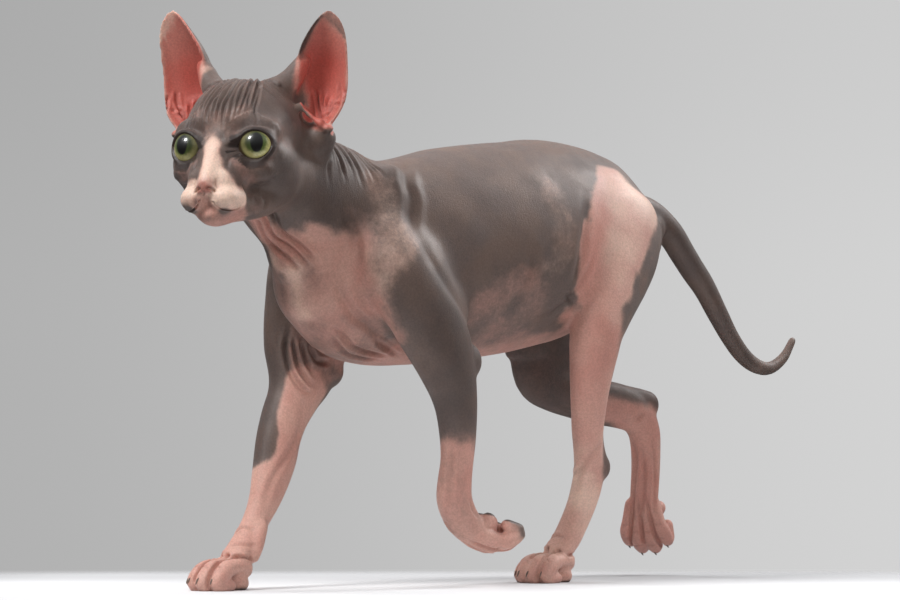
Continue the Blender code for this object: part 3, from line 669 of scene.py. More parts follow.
    nose_bridge: Rows = (
        (-8, 0, 12, 12, 10), (4, 0, 3.5, 10, 8.6), (13, 0, -7, 7.6, 7.3), (20.5, 0, -16.5, 6.4, 6.2),
        (25.5, 0, -23, 5.4, 5.2),
    )
    ear_root: Rows = (
        (-25, 12, 27.5, 8, 9), (-30, 18, 32.5, 7.5, 8), (-34.5, 24, 39.5, 6, 6.5), (-36.5, 28.5, 47.5, 4, 4.5),
    )
    jaw: Rows = ((-24, 18, -22, 9, 11), (-8, 14, -30.5, 8, 8.5), (9, 6, -36, 6.5, 6))
    cheek_back: tuple = ((-38, 24, -14), (16, 11, 18))
    ears: tuple = (Ear(Side.LEFT), Ear(Side.RIGHT, rise=1.06))
    ear_bowls: tuple = (
        ((-37, 40, 30), (9.5, 12, 13)), ((-37, 45, 18), (8, 6.5, 9)), ((-38, 31, 21), (6.5, 4.2, 5)),
    )
    ear_lobes: tuple = (
        ((-32, 29.5, 23.5), (3.5, 3, 3.2)), ((-33, 34, 18.5), (3.5, 3.4, 3)), ((-34, 39, 14), (3.5, 3.4, 3)),
        ((-35, 44, 10.5), (3.5, 3, 3)),
    )

    def lay(self, kit: FormKit) -> None:
        """Lay out every form of the cat, from the trunk to the toes."""
        kit.tube(self.torso, sides=40, steps=6)
        kit.tube(self.neck, sides=36, steps=6)
        kit.tube(self.tail, sides=24, steps=6)
        for leg in (self.foreleg_right, self.foreleg_left, self.hindleg_left, self.hindleg_right):
            kit.tube(leg, sides=26, steps=5)
        for sinew in self.sinews:
            kit.tube(sinew, sides=16)
        for centre, radii, pitch in self.masses:
            kit.ball(centre, radii, pitch)
        for paw in self.paws:
            paw.lay(kit)
        kit.tube(self.dewclaw, sides=14)
        for centre, radii in self.head_balls:
            kit.head_ball(centre, radii)
        kit.head_pairs(self.head_pairs)
        kit.head_tube(self.nose_bridge)
        for line in (self.jaw, self.ear_root):
            for station_rows in sides_of(line, both=True):
                kit.head_tube(station_rows)
        kit.head_ball(*self.cheek_back)

    def lay_ears(self, kit: FormKit) -> None:
        """Lay out the ears, with the lobes along the lower edge of each opening."""
        for ear in self.ears:
            ear.lay(kit)
        kit.head_pairs(self.ear_lobes)

    def softness(self, points: np.ndarray, space: CatSpace) -> np.ndarray:
        """Tell how far the skin is softened: fully on the trunk, hardly on ears, face and toes.

        Args:
            points: Places of the skin in the cat's millimetres.
            space: Where the head stands.

        Returns:
            One weight for each place.
        """
        trunk_from, legs_weight = 125, 0.14
        soft = np.clip((points[:, 2] - trunk_from) / 50, legs_weight, 1)
        tail_line = np.array(((-260, 0, 120), (-150, 0, 205)), dtype=float)
        tail_width, tail_weight = 42, 0.1
        on_tail = reach_along(points, tail_line)[0] < tail_width
        soft = np.where(on_tail, np.minimum(soft, tail_weight), soft)
        for paw in self.paws:
            middle = np.array(paw.centre) + 6 * np.array(paw.back)
            soft = np.minimum(soft, np.clip((gap_to(points, middle) - 18) / 120, 0.015, 1))
        local = space.head_measure(points)
        skull_reach = gap_to(local, (-10, 0, 0))
        limit = 0.45 + np.clip((skull_reach - 45) / 15, 0, 1)
        soft = np.where(skull_reach < 60, np.minimum(soft, limit), soft)
        eyes = [((8, left, -1.6), 60, 0.08) for left in (18.5, -18.5)]
        for middle, reach, least in (*eyes, ((26, 0, -27), 90, 0.04)):
            soft = np.minimum(soft, np.clip(gap_to(local, middle) / reach, least, 1))
        ahead, aside, up = local[:, 0], np.abs(local[:, 1]), local[:, 2]
        ear = smooth_step(22, 34, up) * smooth_step(-8, -24, ahead) * smooth_step(20, 30, aside)
        ear = np.maximum(ear, smooth_step(38, 46, up))
        ear = np.clip(np.maximum(ear, smooth_step(36, 41, aside) * smooth_step(2, 12, up)), 0, 1)
        ear_weight = 0.035
        return soft * (1 - ear) + ear_weight * ear


@dataclass(frozen=True)
class Stroke:
    """A fold, crease or groove that runs over the skin.

    Attributes:
        line: Places that it passes, forward, left and up.
        width: How far its side walls lie from its middle, in millimetres.
        depth: How deep it is at its middle.
        rim: How far the skin beside it stands proud.
        on_head: Whether its places are measured on the head.
        both: Whether the other side has it too.
        taper: The share of its length over which each end fades.
        shade: How much painted shade darkens its bottom.
    """

    line: Rows
    width: float
    depth: float
    rim: float = 0.0
    on_head: bool = False
    both: bool = False
    taper: float = 0.25
    shade: float = 0.5


@dataclass(frozen=True)
class Marking:
    """A patch of skin colour along a line of places.

    Attributes:
        line: Places that it passes, forward, left and up.
        radius: How far it reaches from the line.
        soft: How soft its border is.
        tone: Its colour.
        on_head: Whether its places are measured on the head.
        both: Whether the other side has it too.
        strength: How fully it covers what lies under it.
    """

    line: Rows
    radius: float
    soft: float
    tone: Tone
    on_head: bool = False
    both: bool = False
    strength: float = 1.0


@dataclass(frozen=True)
class Eyelids:
    """The lids over one eye.

    Attributes:
        side: The side of the head.
        turn: How far the eye looks outwards, in degrees.
        tilt: How far its outer corner is raised, in degrees.
        half_width: Half the width of the opening.
        half_height: Half its height.
        roundness: How the opening rounds off, from 1 for a diamond to 2 for an oval.
    """

    side: Side
    turn: float = 17.0
    tilt: float = 9.0
    half_width: float = 8.1
    half_height: float = 6.75
    roundness: float = 1.85

    @property
    def centre(self) -> np.ndarray:
        """The middle of the eyeball, measured on the head."""
        return np.array((LEFT_EYE_AT[0], LEFT_EYE_AT[1] * self.side.value, LEFT_EYE_AT[2]))

    def opening(self, local: np.ndarray) -> tuple[np.ndarray, np.ndarray, np.ndarray, np.ndarray]:
        """Measure places against the opening of the lids.

        Args:
            local: Places measured on the head.

        Returns:
            How far out of the opening each lies (1 at its edge), the distance from the middle of
            the eyeball, the direction from there, and the height in the opening.
        """
        turn = math.radians(self.turn) * self.side.value
        gaze = np.array((math.cos(turn), math.sin(turn), 0.0))
        outward = np.array((-math.sin(turn), math.cos(turn), 0.0)) * self.side.value
        span = local - self.centre
        reach = np.linalg.norm(span, axis=1)
        heading = span / np.maximum(reach, 1e-6)[:, None]
        across, up = heading @ outward * EYE_RADIUS, heading[:, 2] * EYE_RADIUS
        tilt = math.radians(self.tilt)
        wide = across * math.cos(tilt) + up * math.sin(tilt)
        high = -across * math.sin(tilt) + up * math.cos(tilt)
        ratio = (np.abs(wide / self.half_width) ** self.roundness
                 + np.abs(high / self.half_height) ** self.roundness) ** (1 / self.roundness)
        inner_corner = np.exp(-((wide + self.half_width + 0.5) / 1.5) ** 2 - ((high + 1.2) / 1.1) ** 2)
        ratio = np.where(heading @ gaze > 0.1, ratio - 0.3 * inner_corner, 3.0)
        return ratio, reach, heading, high

    def close_over(self, local: np.ndarray) -> np.ndarray:
        """Draw the skin round the eyeball and open it where the eye shows.

        Args:
            local: Places of the skin measured on the head.

        Returns:
            The same places after the lids are shaped.
        """
        ratio, reach, heading, high = self.opening(local)
        upper = smooth_step(-2, 4, high)
        cover = np.maximum(reach, EYE_RADIUS + 1.35 - 0.35 * smooth_step(1.5, 2.1, ratio))
        for height, at, width in (
            (0.35, 1.2, 0.1), (0.25 + 0.35 * upper, 1.55, 0.12),
            (-0.45 - 0.35 * upper, 1.38, 0.065), (-0.4, 1.76, 0.08),
        ):
            cover = cover + height * np.exp(-((ratio - at) / width) ** 2)
        behind_ball = EYE_RADIUS - 2.4
        open_share = 1 - smooth_step(0.985, 1.075, ratio)
        shaped = cover * (1 - open_share) + behind_ball * open_share
        blend = 1 - smooth_step(1.8, 2.2, ratio)
        shaped = self.centre + heading * (shaped * blend + reach * (1 - blend))[:, None]
        near = (reach < EYE_RADIUS + 8) & (ratio < 2.2)
        return np.where(near[:, None], shaped, local)


class Sculptor:
    """Works folds into a skin whose places are kept in the cat's millimetres."""

    def __init__(self, mesh: bpy.types.Mesh, space: CatSpace) -> None:
        """Read the skin's places and normals."""
        self.space = space
        self.mesh = mesh
        self.read()
        surface = bmesh.new()
        surface.from_mesh(mesh)
        self.tree = BVHTree.FromBMesh(surface)
        surface.free()
        self.traced: list = []

    def read(self) -> None:
        """Read places and normals from the mesh."""
        self.points = self.space.measure(read_rows(self.mesh))
        self.normals = self.space.heading(read_rows(self.mesh, "normal"))

    def write(self) -> None:
        """Put the worked places back into the mesh."""
        self.mesh.vertices.foreach_set("co", self.space.unmeasure(self.points).ravel())
        self.mesh.update()

    def trace(self, line: Rows, on_head: bool) -> tuple[np.ndarray, np.ndarray]:
        """Lay a line of places onto the skin.

        Args:
            line: The places.
            on_head: Whether they are measured on the head.

        Returns:
            Places on the skin along the line, and the skin's normals there.
        """
        laid, facing = [], []
        for point in self.space.curve(line, on_head, 5):
            place, normal, _, _ = self.tree.find_nearest(self.space.place(point))
            laid.append(self.space.measure(np.array([place]))[0])
            facing.append((-normal.y, normal.x, normal.z))
        return np.array(laid), np.array(facing)

    def near(self, laid: np.ndarray, facing: np.ndarray, reach: float) -> tuple[np.ndarray, ...]:
        """Find the skin near a laid line.

        Args:
            laid: Places of the line on the skin.
            facing: The skin's normals there.
            reach: How far to look.

        Returns:
            The numbers of the places found, their distances, shares of the line and agreement.
        """
        low, high = laid.min(axis=0) - reach, laid.max(axis=0) + reach
        found = np.flatnonzero(((self.points > low) & (self.points < high)).all(axis=1))
        distance, share = reach_along(self.points[found], laid)
        station = np.clip((share * (len(facing) - 1)).round().astype(int), 0, len(facing) - 1)
        agree = np.einsum("ij,ij->i", self.normals[found], facing[station])
        return found, distance, share, smooth_step(-0.1, 0.4, agree)

    def press(self, strokes: Iterable[Stroke]) -> None:
        """Work strokes into the skin and remember where they lie."""
        for stroke in strokes:
            for line in sides_of(stroke.line, stroke.both):
                laid, facing = self.trace(line, stroke.on_head)
                self.traced.append((stroke, laid, facing))
                found, distance, share, agree = self.near(laid, facing, stroke.width * 4)
                fade = self.fade(stroke, share) * agree
                groove = np.exp(-(distance / stroke.width) ** 2)
                shoulder = np.exp(-((distance - 1.9 * stroke.width) / (0.85 * stroke.width)) ** 2)
                push = (stroke.rim * shoulder - stroke.depth * groove) * fade
                self.points[found] += self.normals[found] * push[:, None]

    @staticmethod
    def fade(stroke: Stroke, share: np.ndarray) -> np.ndarray:
        """Tell how strong a stroke is along its length."""
        ends = smooth_step(0, stroke.taper, share) * (1 - smooth_step(1 - stroke.taper, 1, share))
        return 0.12 + 0.88 * ends

    def creases(self) -> np.ndarray:
        """Tell for each place of the skin how deep in a crease it lies, as the painted shade that darkens it
        there.
        """
        total = np.zeros(len(self.points))
        for stroke, laid, facing in self.traced:
            found, distance, share, agree = self.near(laid, facing, stroke.width * 3)
            groove = np.exp(-(distance / (stroke.width * 0.9)) ** 2)
            total[found] = np.maximum(total[found], groove * self.fade(stroke, share) * agree * stroke.shade)
        return np.clip(total, 0, 1)


@dataclass
class Skin:
    """The cat's whole skin as one piece, with its folds, lids, ears, toes and markings.

    Attributes:
        cat: The forms under the skin.
        space: Where the cat stands.
        cell: The size of the cells that the forms are closed over with, in millimetres.
        soft_rounds: How often the joins of the forms are softened.
        triangles: How many triangles the finished skin may have.
        lids: The lids over both eyes.
        finer: Places on the head whose cells are split, with the reach of each.
    """

    cat: Cat
    space: CatSpace
    cell: float = 0.82
    soft_rounds: int = 300
    triangles: int = 194000
    lids: tuple = (Eyelids(Side.LEFT), Eyelids(Side.RIGHT))
    finer: tuple = (
        ((12, 17, -2), 15.0), ((12, -17, -2), 15.0), ((9, 18.5, -2), 11.5), ((9, -18.5, -2), 11.5),
        ((27, 0, -28), 13.0), ((20, 10, -35), 12.0), ((20, -10, -35), 12.0), ((6, 0, 26), 26.0),
    )

    def build(self) -> bpy.types.Object:
        """Make the skin.

        Returns:
            The finished skin, without its material.
        """
        kit = FormKit(self.space)
        self.cat.lay(kit)
        skin = self.close(kit, "forms")
        self.hollow_ears(skin)
        kit = FormKit(self.space)
        kit.form.from_mesh(skin.data)
        self.cat.lay_ears(kit)
        bpy.data.objects.remove(skin)
        skin = self.close(kit, "skin")
        self.soften(skin)
        self.refine(skin)
        sculptor = Sculptor(skin.data, self.space)
        self.swell(sculptor)
        sculptor.press(folds())
        sculptor.press(paw_creases(self.cat))
        self.shape_lids(sculptor)
        sculptor.write()
        self.thin(skin)
        sculptor.mesh = skin.data
        sculptor.read()
        self.colour(skin, sculptor)
        skin.data.shade_smooth()
        return skin

    def close(self, kit: FormKit, name: str) -> bpy.types.Object:
        """Close one surface over overlapping forms."""
        forms = kit.finish(name)
        modify(forms, "REMESH", mode="VOXEL", voxel_size=self.cell * MILLIMETRE)
        return forms

    def hollow_ears(self, skin: bpy.types.Object) -> None:
        """Cut the hollows of the ears into the head."""
        kit = FormKit(self.space)
        kit.head_pairs(self.cat.ear_bowls)
        bowls = self.close(kit, "bowls")
        modify(skin, "BOOLEAN", operation="DIFFERENCE", solver="MANIFOLD", object=bowls)
        bpy.data.objects.remove(bowls)

    def soften(self, skin: bpy.types.Object) -> None:
        """Soften the joins of the forms, most on the trunk and least on the face and toes."""
        steps = 200
        weights = self.cat.softness(self.space.measure(read_rows(skin.data)), self.space)
        group = skin.vertex_groups.new(name="soft")
        levels = np.clip((weights * steps).astype(int), 1, steps)
        for level in np.unique(levels):
            group.add([int(number) for number in np.flatnonzero(levels == level)], level / steps, "REPLACE")
        modify(skin, "SMOOTH", factor=0.6, iterations=self.soft_rounds, vertex_group=group.name)
        skin.vertex_groups.clear()

    def refine(self, skin: bpy.types.Object) -> None:
        """Split the skin's cells round the eyes, nose and mouth and on the forehead."""
        shortest = 0.25 * self.cell * MILLIMETRE
        surface = bmesh.new()
        surface.from_mesh(skin.data)
        for place, reach in self.finer:
            centre = self.space.place(self.space.head_place(place))
            near = reach * MILLIMETRE
            edges = [edge for edge in surface.edges
                     if (edge.verts[0].co - centre).length < near and edge.calc_length() > shortest]
            bmesh.ops.subdivide_edges(surface, edges=edges, cuts=1, use_grid_fill=True)
        surface.to_mesh(skin.data)
        surface.free()

    def swell(self, sculptor: Sculptor) -> None:
        """Give the trunk and thighs the slight unevenness of loose skin over muscle."""
        points = sculptor.points
        trunk = smooth_step(110, 150, points[:, 2]) * (1 - smooth_step(120, 150, points[:, 0]))
        uneven = 0.45 * drift(points, 24, 1) + 0.22 * drift(points, 11, 2)
        sculptor.points = points + sculptor.normals * (uneven * trunk)[:, None]

    def shape_lids(self, sculptor: Sculptor) -> None:
        """Draw the lids over both eyes."""
        local = self.space.head_measure(sculptor.points)
        for lid in self.lids:
            local = lid.close_over(local)
        sculptor.points = self.space.head_unmeasure(local)

    def thin(self, skin: bpy.types.Object) -> None:
        """Take out cells where the skin is plain."""
        count = sum(len(face.vertices) - 2 for face in skin.data.polygons)
        LOG.info("skin before thinning: %d triangles", count)
        modify(skin, "DECIMATE", ratio=self.triangles / count)

    def colour(self, skin: bpy.types.Object, sculptor: Sculptor) -> None:
        """Lay the skin's markings, painted highlights and shade among them, and the painted shade of its
        creases into its colour attributes.
        """
        points = sculptor.points
        local = self.space.head_measure(points)
        coat = np.tile(np.array(Tone.GREY.value), (len(points), 1))
        warm = np.clip(0.5 + 0.9 * drift(points, 34, 5) + 0.4 * drift(points, 13, 6), 0, 1)
        coat = lay_over(coat, 0.5 * warm, Tone.WARM_GREY.value)
        uneven = 0.55 * drift(points, 10, 7) + 0.35 * drift(points, 4.5, 8)
        for marking in markings(self.cat):
            for line in sides_of(marking.line, marking.both):
                curve = self.space.curve(line, marking.on_head, 4)
                reach = marking.radius + marking.soft * 2
                low, high = curve.min(axis=0) - reach, curve.max(axis=0) + reach
                found = np.flatnonzero(((points > low) & (points < high)).all(axis=1))
                distance, _ = reach_along(points[found], curve)
                border = distance + uneven[found] * marking.soft * 0.9
                share = 1 - smooth_step(marking.radius - marking.soft, marking.radius + marking.soft, border)
                coat[found] = lay_over(coat[found], share * marking.strength, marking.tone.value)
        for ear in self.cat.ears:
            coat = self.colour_ear(ear, coat, local, self.space.head_heading(sculptor.normals))
        wet = np.zeros(len(points))
        for lid in self.lids:
            ratio, reach, _, _ = lid.opening(local)
            rim = (1 - smooth_step(1.15, 1.29, ratio)) * (reach < 16)
            halo = (1 - smooth_step(1.2, 1.75, ratio)) * (reach < 16) * 0.75
            coat = lay_over(lay_over(coat, halo, Tone.DARK_BROWN.value), rim, Tone.LID.value)
            wet = np.maximum(wet, rim * (1 - smooth_step(1.0, 1.08, ratio)))
        nose_span = (local - np.array((29.5, 0, -26))) * np.array((0.8, 0.85, 1.25))
        wet = np.maximum(wet, 0.55 * (1 - smooth_step(3.6, 5.0, np.linalg.norm(nose_span, axis=1))))
        full = np.ones(len(points))
        write_colour(skin.data, "coat", np.column_stack((coat[:, :3], full)))
        # The shade attribute keeps the darker tones, the painted shade at the bottom of the creases, and the
        # wet places
        write_colour(skin.data, "shade", np.column_stack((coat[:, 3], sculptor.creases(), wet, full)))

    def colour_ear(self, ear: Ear, coat: np.ndarray, local: np.ndarray, facing: np.ndarray) -> np.ndarray:
        """Colour one ear: red and rose inside, with a pale rim, grey behind, and on the right ear painted
        highlights on the tip and the inner margin.

        Args:
            ear: The ear.
            coat: The colour of each place of the skin.
            local: The places, measured on the head.
            facing: The skin's normals, turned with the head.

        Returns:
            The colours with the ear's own laid over them.
        """
        mirror = np.array((1, ear.side.value, 1))
        place = local * np.array((1, ear.side.value, 1 / ear.rise))
        ahead, aside, up = place.T
        from_head = np.linalg.norm(local, axis=1)
        region = smooth_step(24, 30, aside) * smooth_step(-14, -22, ahead)
        region = region * smooth_step(-62, -54, ahead) * (1 - smooth_step(97, 103, from_head))
        low_part = smooth_step(31, 38, aside) * smooth_step(8, 14, up)
        region = region * np.maximum(smooth_step(24, 34, up), low_part)
        inner_reach, height = reach_along(place, smooth_rows(ear.inner_edge, 8))
        outer_reach, _ = reach_along(place, smooth_rows(ear.outer_edge, 8))
        inside = smooth_step(0.15, -0.25, facing @ (np.array(REARWARD) * mirror)) * region
        for centre, radii in self.cat.ear_bowls:
            span = np.array(centre) - place
            depth = np.linalg.norm(span / np.array(radii), axis=1)
            length = np.maximum(np.linalg.norm(span, axis=1), 1e-6)
            toward = np.einsum("ij,ij->i", facing * mirror, span) / length
            inside = np.maximum(inside, (1 - smooth_step(1.12, 1.3, depth)) * smooth_step(0.0, 0.35, toward))
        across = inner_reach / np.maximum(inner_reach + outer_reach, 1e-6)
        rim = np.maximum(1 - smooth_step(0.8, 2.6, outer_reach), 1 - smooth_step(0.6, 1.6, inner_reach))
        rose = Tone.ROSE.value
        coat = lay_over(coat, inside, np.array(Tone.RED.value) * 0.75 + np.array(rose) * 0.25)
        coat = lay_over(coat, inside * smooth_step(0.45, 0.9, height) * 0.8, rose)
        coat = lay_over(coat, inside * smooth_step(0.55, 0.8, across) * 0.45, rose)
        if ear.side is Side.LEFT:
            coat = lay_over(coat, inside * rim * 0.8, Tone.PINK.value)
            edge = inside * (1 - smooth_step(0.06, 0.3, across)) * smooth_step(0.45, 0.6, height)
            coat = lay_over(coat, edge, Tone.DEEP_GREY.value)
            return lay_over(coat, inside * smooth_step(0.84, 0.96, height) * 0.7, Tone.WARM_GREY.value)
        coat = lay_over(coat, inside * smooth_step(0.3, 0.8, height) * 0.2, Tone.PINK.value)
        coat = lay_over(coat, inside * rim * 0.8, Tone.PINK.value)
        # Painted highlights on the right ear's tip and on its inner margin
        coat = lay_over(coat, region * smooth_step(0.9, 0.98, height) * 0.7, Tone.CREAM.value)
        return lay_over(coat, (1 - smooth_step(2, 6, gap_to(place, (-34.5, 26, 41)))) * 0.7, Tone.CREAM.value)


def lay_over(coat: np.ndarray, share: np.ndarray, tone: Iterable[float]) -> np.ndarray:
    """Lay a tone over colours, by its share at each place."""
    return coat * (1 - share[:, None]) + np.array(tone) * share[:, None]


def write_colour(mesh: bpy.types.Mesh, name: str, values: np.ndarray) -> None:
    """Keep one colour for each place of a mesh."""
    layer = mesh.color_attributes.new(name, "FLOAT_COLOR", "POINT")
    layer.data.foreach_set("color", values.astype(np.float32).ravel())


def on_head(laid: Iterable[Stroke | Marking]) -> list[Stroke | Marking]:
    """Give the same strokes or markings, measured on the head."""
    return [replace(one, on_head=True) for one in laid]


def paw_creases(cat: Cat) -> list[Stroke]:
    """Give the creases over the knuckles and the gaps between the toes of every paw."""
    knuckles = [Stroke(line, 0.6, 0.4, 0.15, shade=0.4) for paw in cat.paws for line in paw.knuckle_lines()]
    # The gaps between the toes carry full painted shade
    gaps = [Stroke(line, 1.05, 2.1, 0.4, taper=0.2, shade=1.0) for paw in cat.paws for line in paw.toe_gaps()]
    return knuckles + gaps


def forehead_folds() -> list[Stroke]:
    """Give the folds that fan over the forehead and to the ears."""
    made = []
    for number in range(-7, 8):
        sway = math.sin(2.7 * number + 0.6)
        other = math.cos(4.1 * number + 1.3)
        low = 5 + 4 * abs(other) if number < 3 else 13 + 3.5 * abs(other)
        line = (
            (-32 - 2 * other, 0.9 * number + 0.5 * sway, 37), (-20, 1.7 * number - 0.5 * sway, 38),
            (-9, 2.35 * number - 0.6 * sway, 34.5), (1, 2.85 * number + 0.7 * other, 27.5),
            (8, 3.1 * number - 0.6 * other, 18.5), (13 + sway, 3.15 * number + 0.8 * sway, low),
        )
        made.append(Stroke(line, 0.85 + 0.15 * sway, 0.85 + 0.2 * other, 0.4, taper=0.2, shade=0.85))
    for number in range(6):
        sway = math.sin(3.3 * number)
        line = ((-12 - 4 * number, 3.5, 38), (-11 - 3.8 * number + sway, 11, 35.5),
                (-12 - 3.2 * number, 18.5, 30.5), (-15 - 2.4 * number + sway, 25, 23 + 1.2 * number))
        made.append(Stroke(line, 0.9, 0.95, 0.4, both=True, taper=0.3, shade=0.75))
    return on_head(made)


def nape_folds() -> list[Stroke]:
    """Give the folds that ring the back of the neck down to the shoulders."""
    made = []
    for number in range(10):
        sway = math.sin(2.3 * number + 0.5)
        other = math.cos(3.7 * number)
        forward = 132 - 4.3 * number + 1.3 * sway
        line = ((forward + 3, 2.5, 246), (forward + 1.5, 13, 241.5), (forward - 0.5 + sway, 21, 232),
                (forward - 2.5 + sway, 26.5, 221 - 5 * other))
        made.append(Stroke(line, 1.0 + 0.3 * other, 0.85 + 0.3 * sway, 0.35, both=True, taper=0.25, shade=0.45))
    return made


def face_folds() -> list[Stroke]:
    """Give the grooves of the nose, mouth and cheeks."""
    return on_head([
        Stroke(((33, 0, -36.2), (28.5, 4, -37.6), (24, 8.5, -37.4), (19, 13, -35.8), (14, 17, -33.3),
               (9.5, 19.5, -30.6)), 0.5, 1.2, 0.3, both=True, taper=0.14, shade=0.5),
        Stroke(((31.5, 0, -28.2), (32, 0, -31), (31.5, 0, -35.6)), 0.45, 0.8, 0.25, taper=0.15, shade=0.45),
        Stroke(((31.5, 2.3, -26.9), (30.8, 3.6, -26.0), (29, 4.8, -26.2), (27, 6, -27.6)), 0.75, 1.6, 0.3,
               both=True, taper=0.2, shade=1.0),
        Stroke(((11.5, 15, -20.5), (10, 17.5, -25), (9.8, 18.4, -29), (11, 17.8, -32.6)), 1.3, 1.1, 0.5,
               both=True, taper=0.3, shade=0.45),
        Stroke(((6, 20.5, -22), (4, 22.5, -27), (5, 21.5, -33)), 1.3, 0.8, 0.35, both=True, taper=0.3,
               shade=0.35),
        Stroke(((0, 23, -24), (-3, 24.5, -30), (-2, 22, -36)), 1.4, 0.6, 0.3, both=True, taper=0.3, shade=0.3),
        Stroke(((16, 10.3, -6), (18, 9, -11.5), (20, 9.2, -17)), 0.9, 0.45, 0.15, both=True, taper=0.3,
               shade=0.3),
        Stroke(((25.5, 5.6, -19.5), (26.5, 6.4, -23), (26, 7.6, -27)), 0.8, 0.55, 0.1, both=True, taper=0.3,
               shade=0.3),
    ])


def ear_folds() -> list[Stroke]:
    """Give the ridges and the pocket at the bottom of each ear."""
    made = [
        Stroke(((-35, 48, 33), (-36.5, 50.5, 29), (-36, 51, 24.5)), 1.0, 1.6, 0.6, both=True, taper=0.15,
               shade=0.8),
        Stroke(((-35, 43, 36), (-38, 44, 30), (-39, 41.5, 23)), 1.1, 0.9, 0.7, both=True, taper=0.2, shade=0.5),
    ]
    for number in range(6):
        line = ((-38.5, 36.2 + 0.7 * number, 17 + 0.4 * number),
                (-41.5, 34.5 + 2.3 * number, 25.5 - 0.5 * number),
                (-41 + 0.5 * number, 33 + 3.2 * number, 34 - 1.8 * number))
        made.append(Stroke(line, 0.95, 0.9, 0.8, both=True, taper=0.2, shade=0.7))
    return on_head(made)


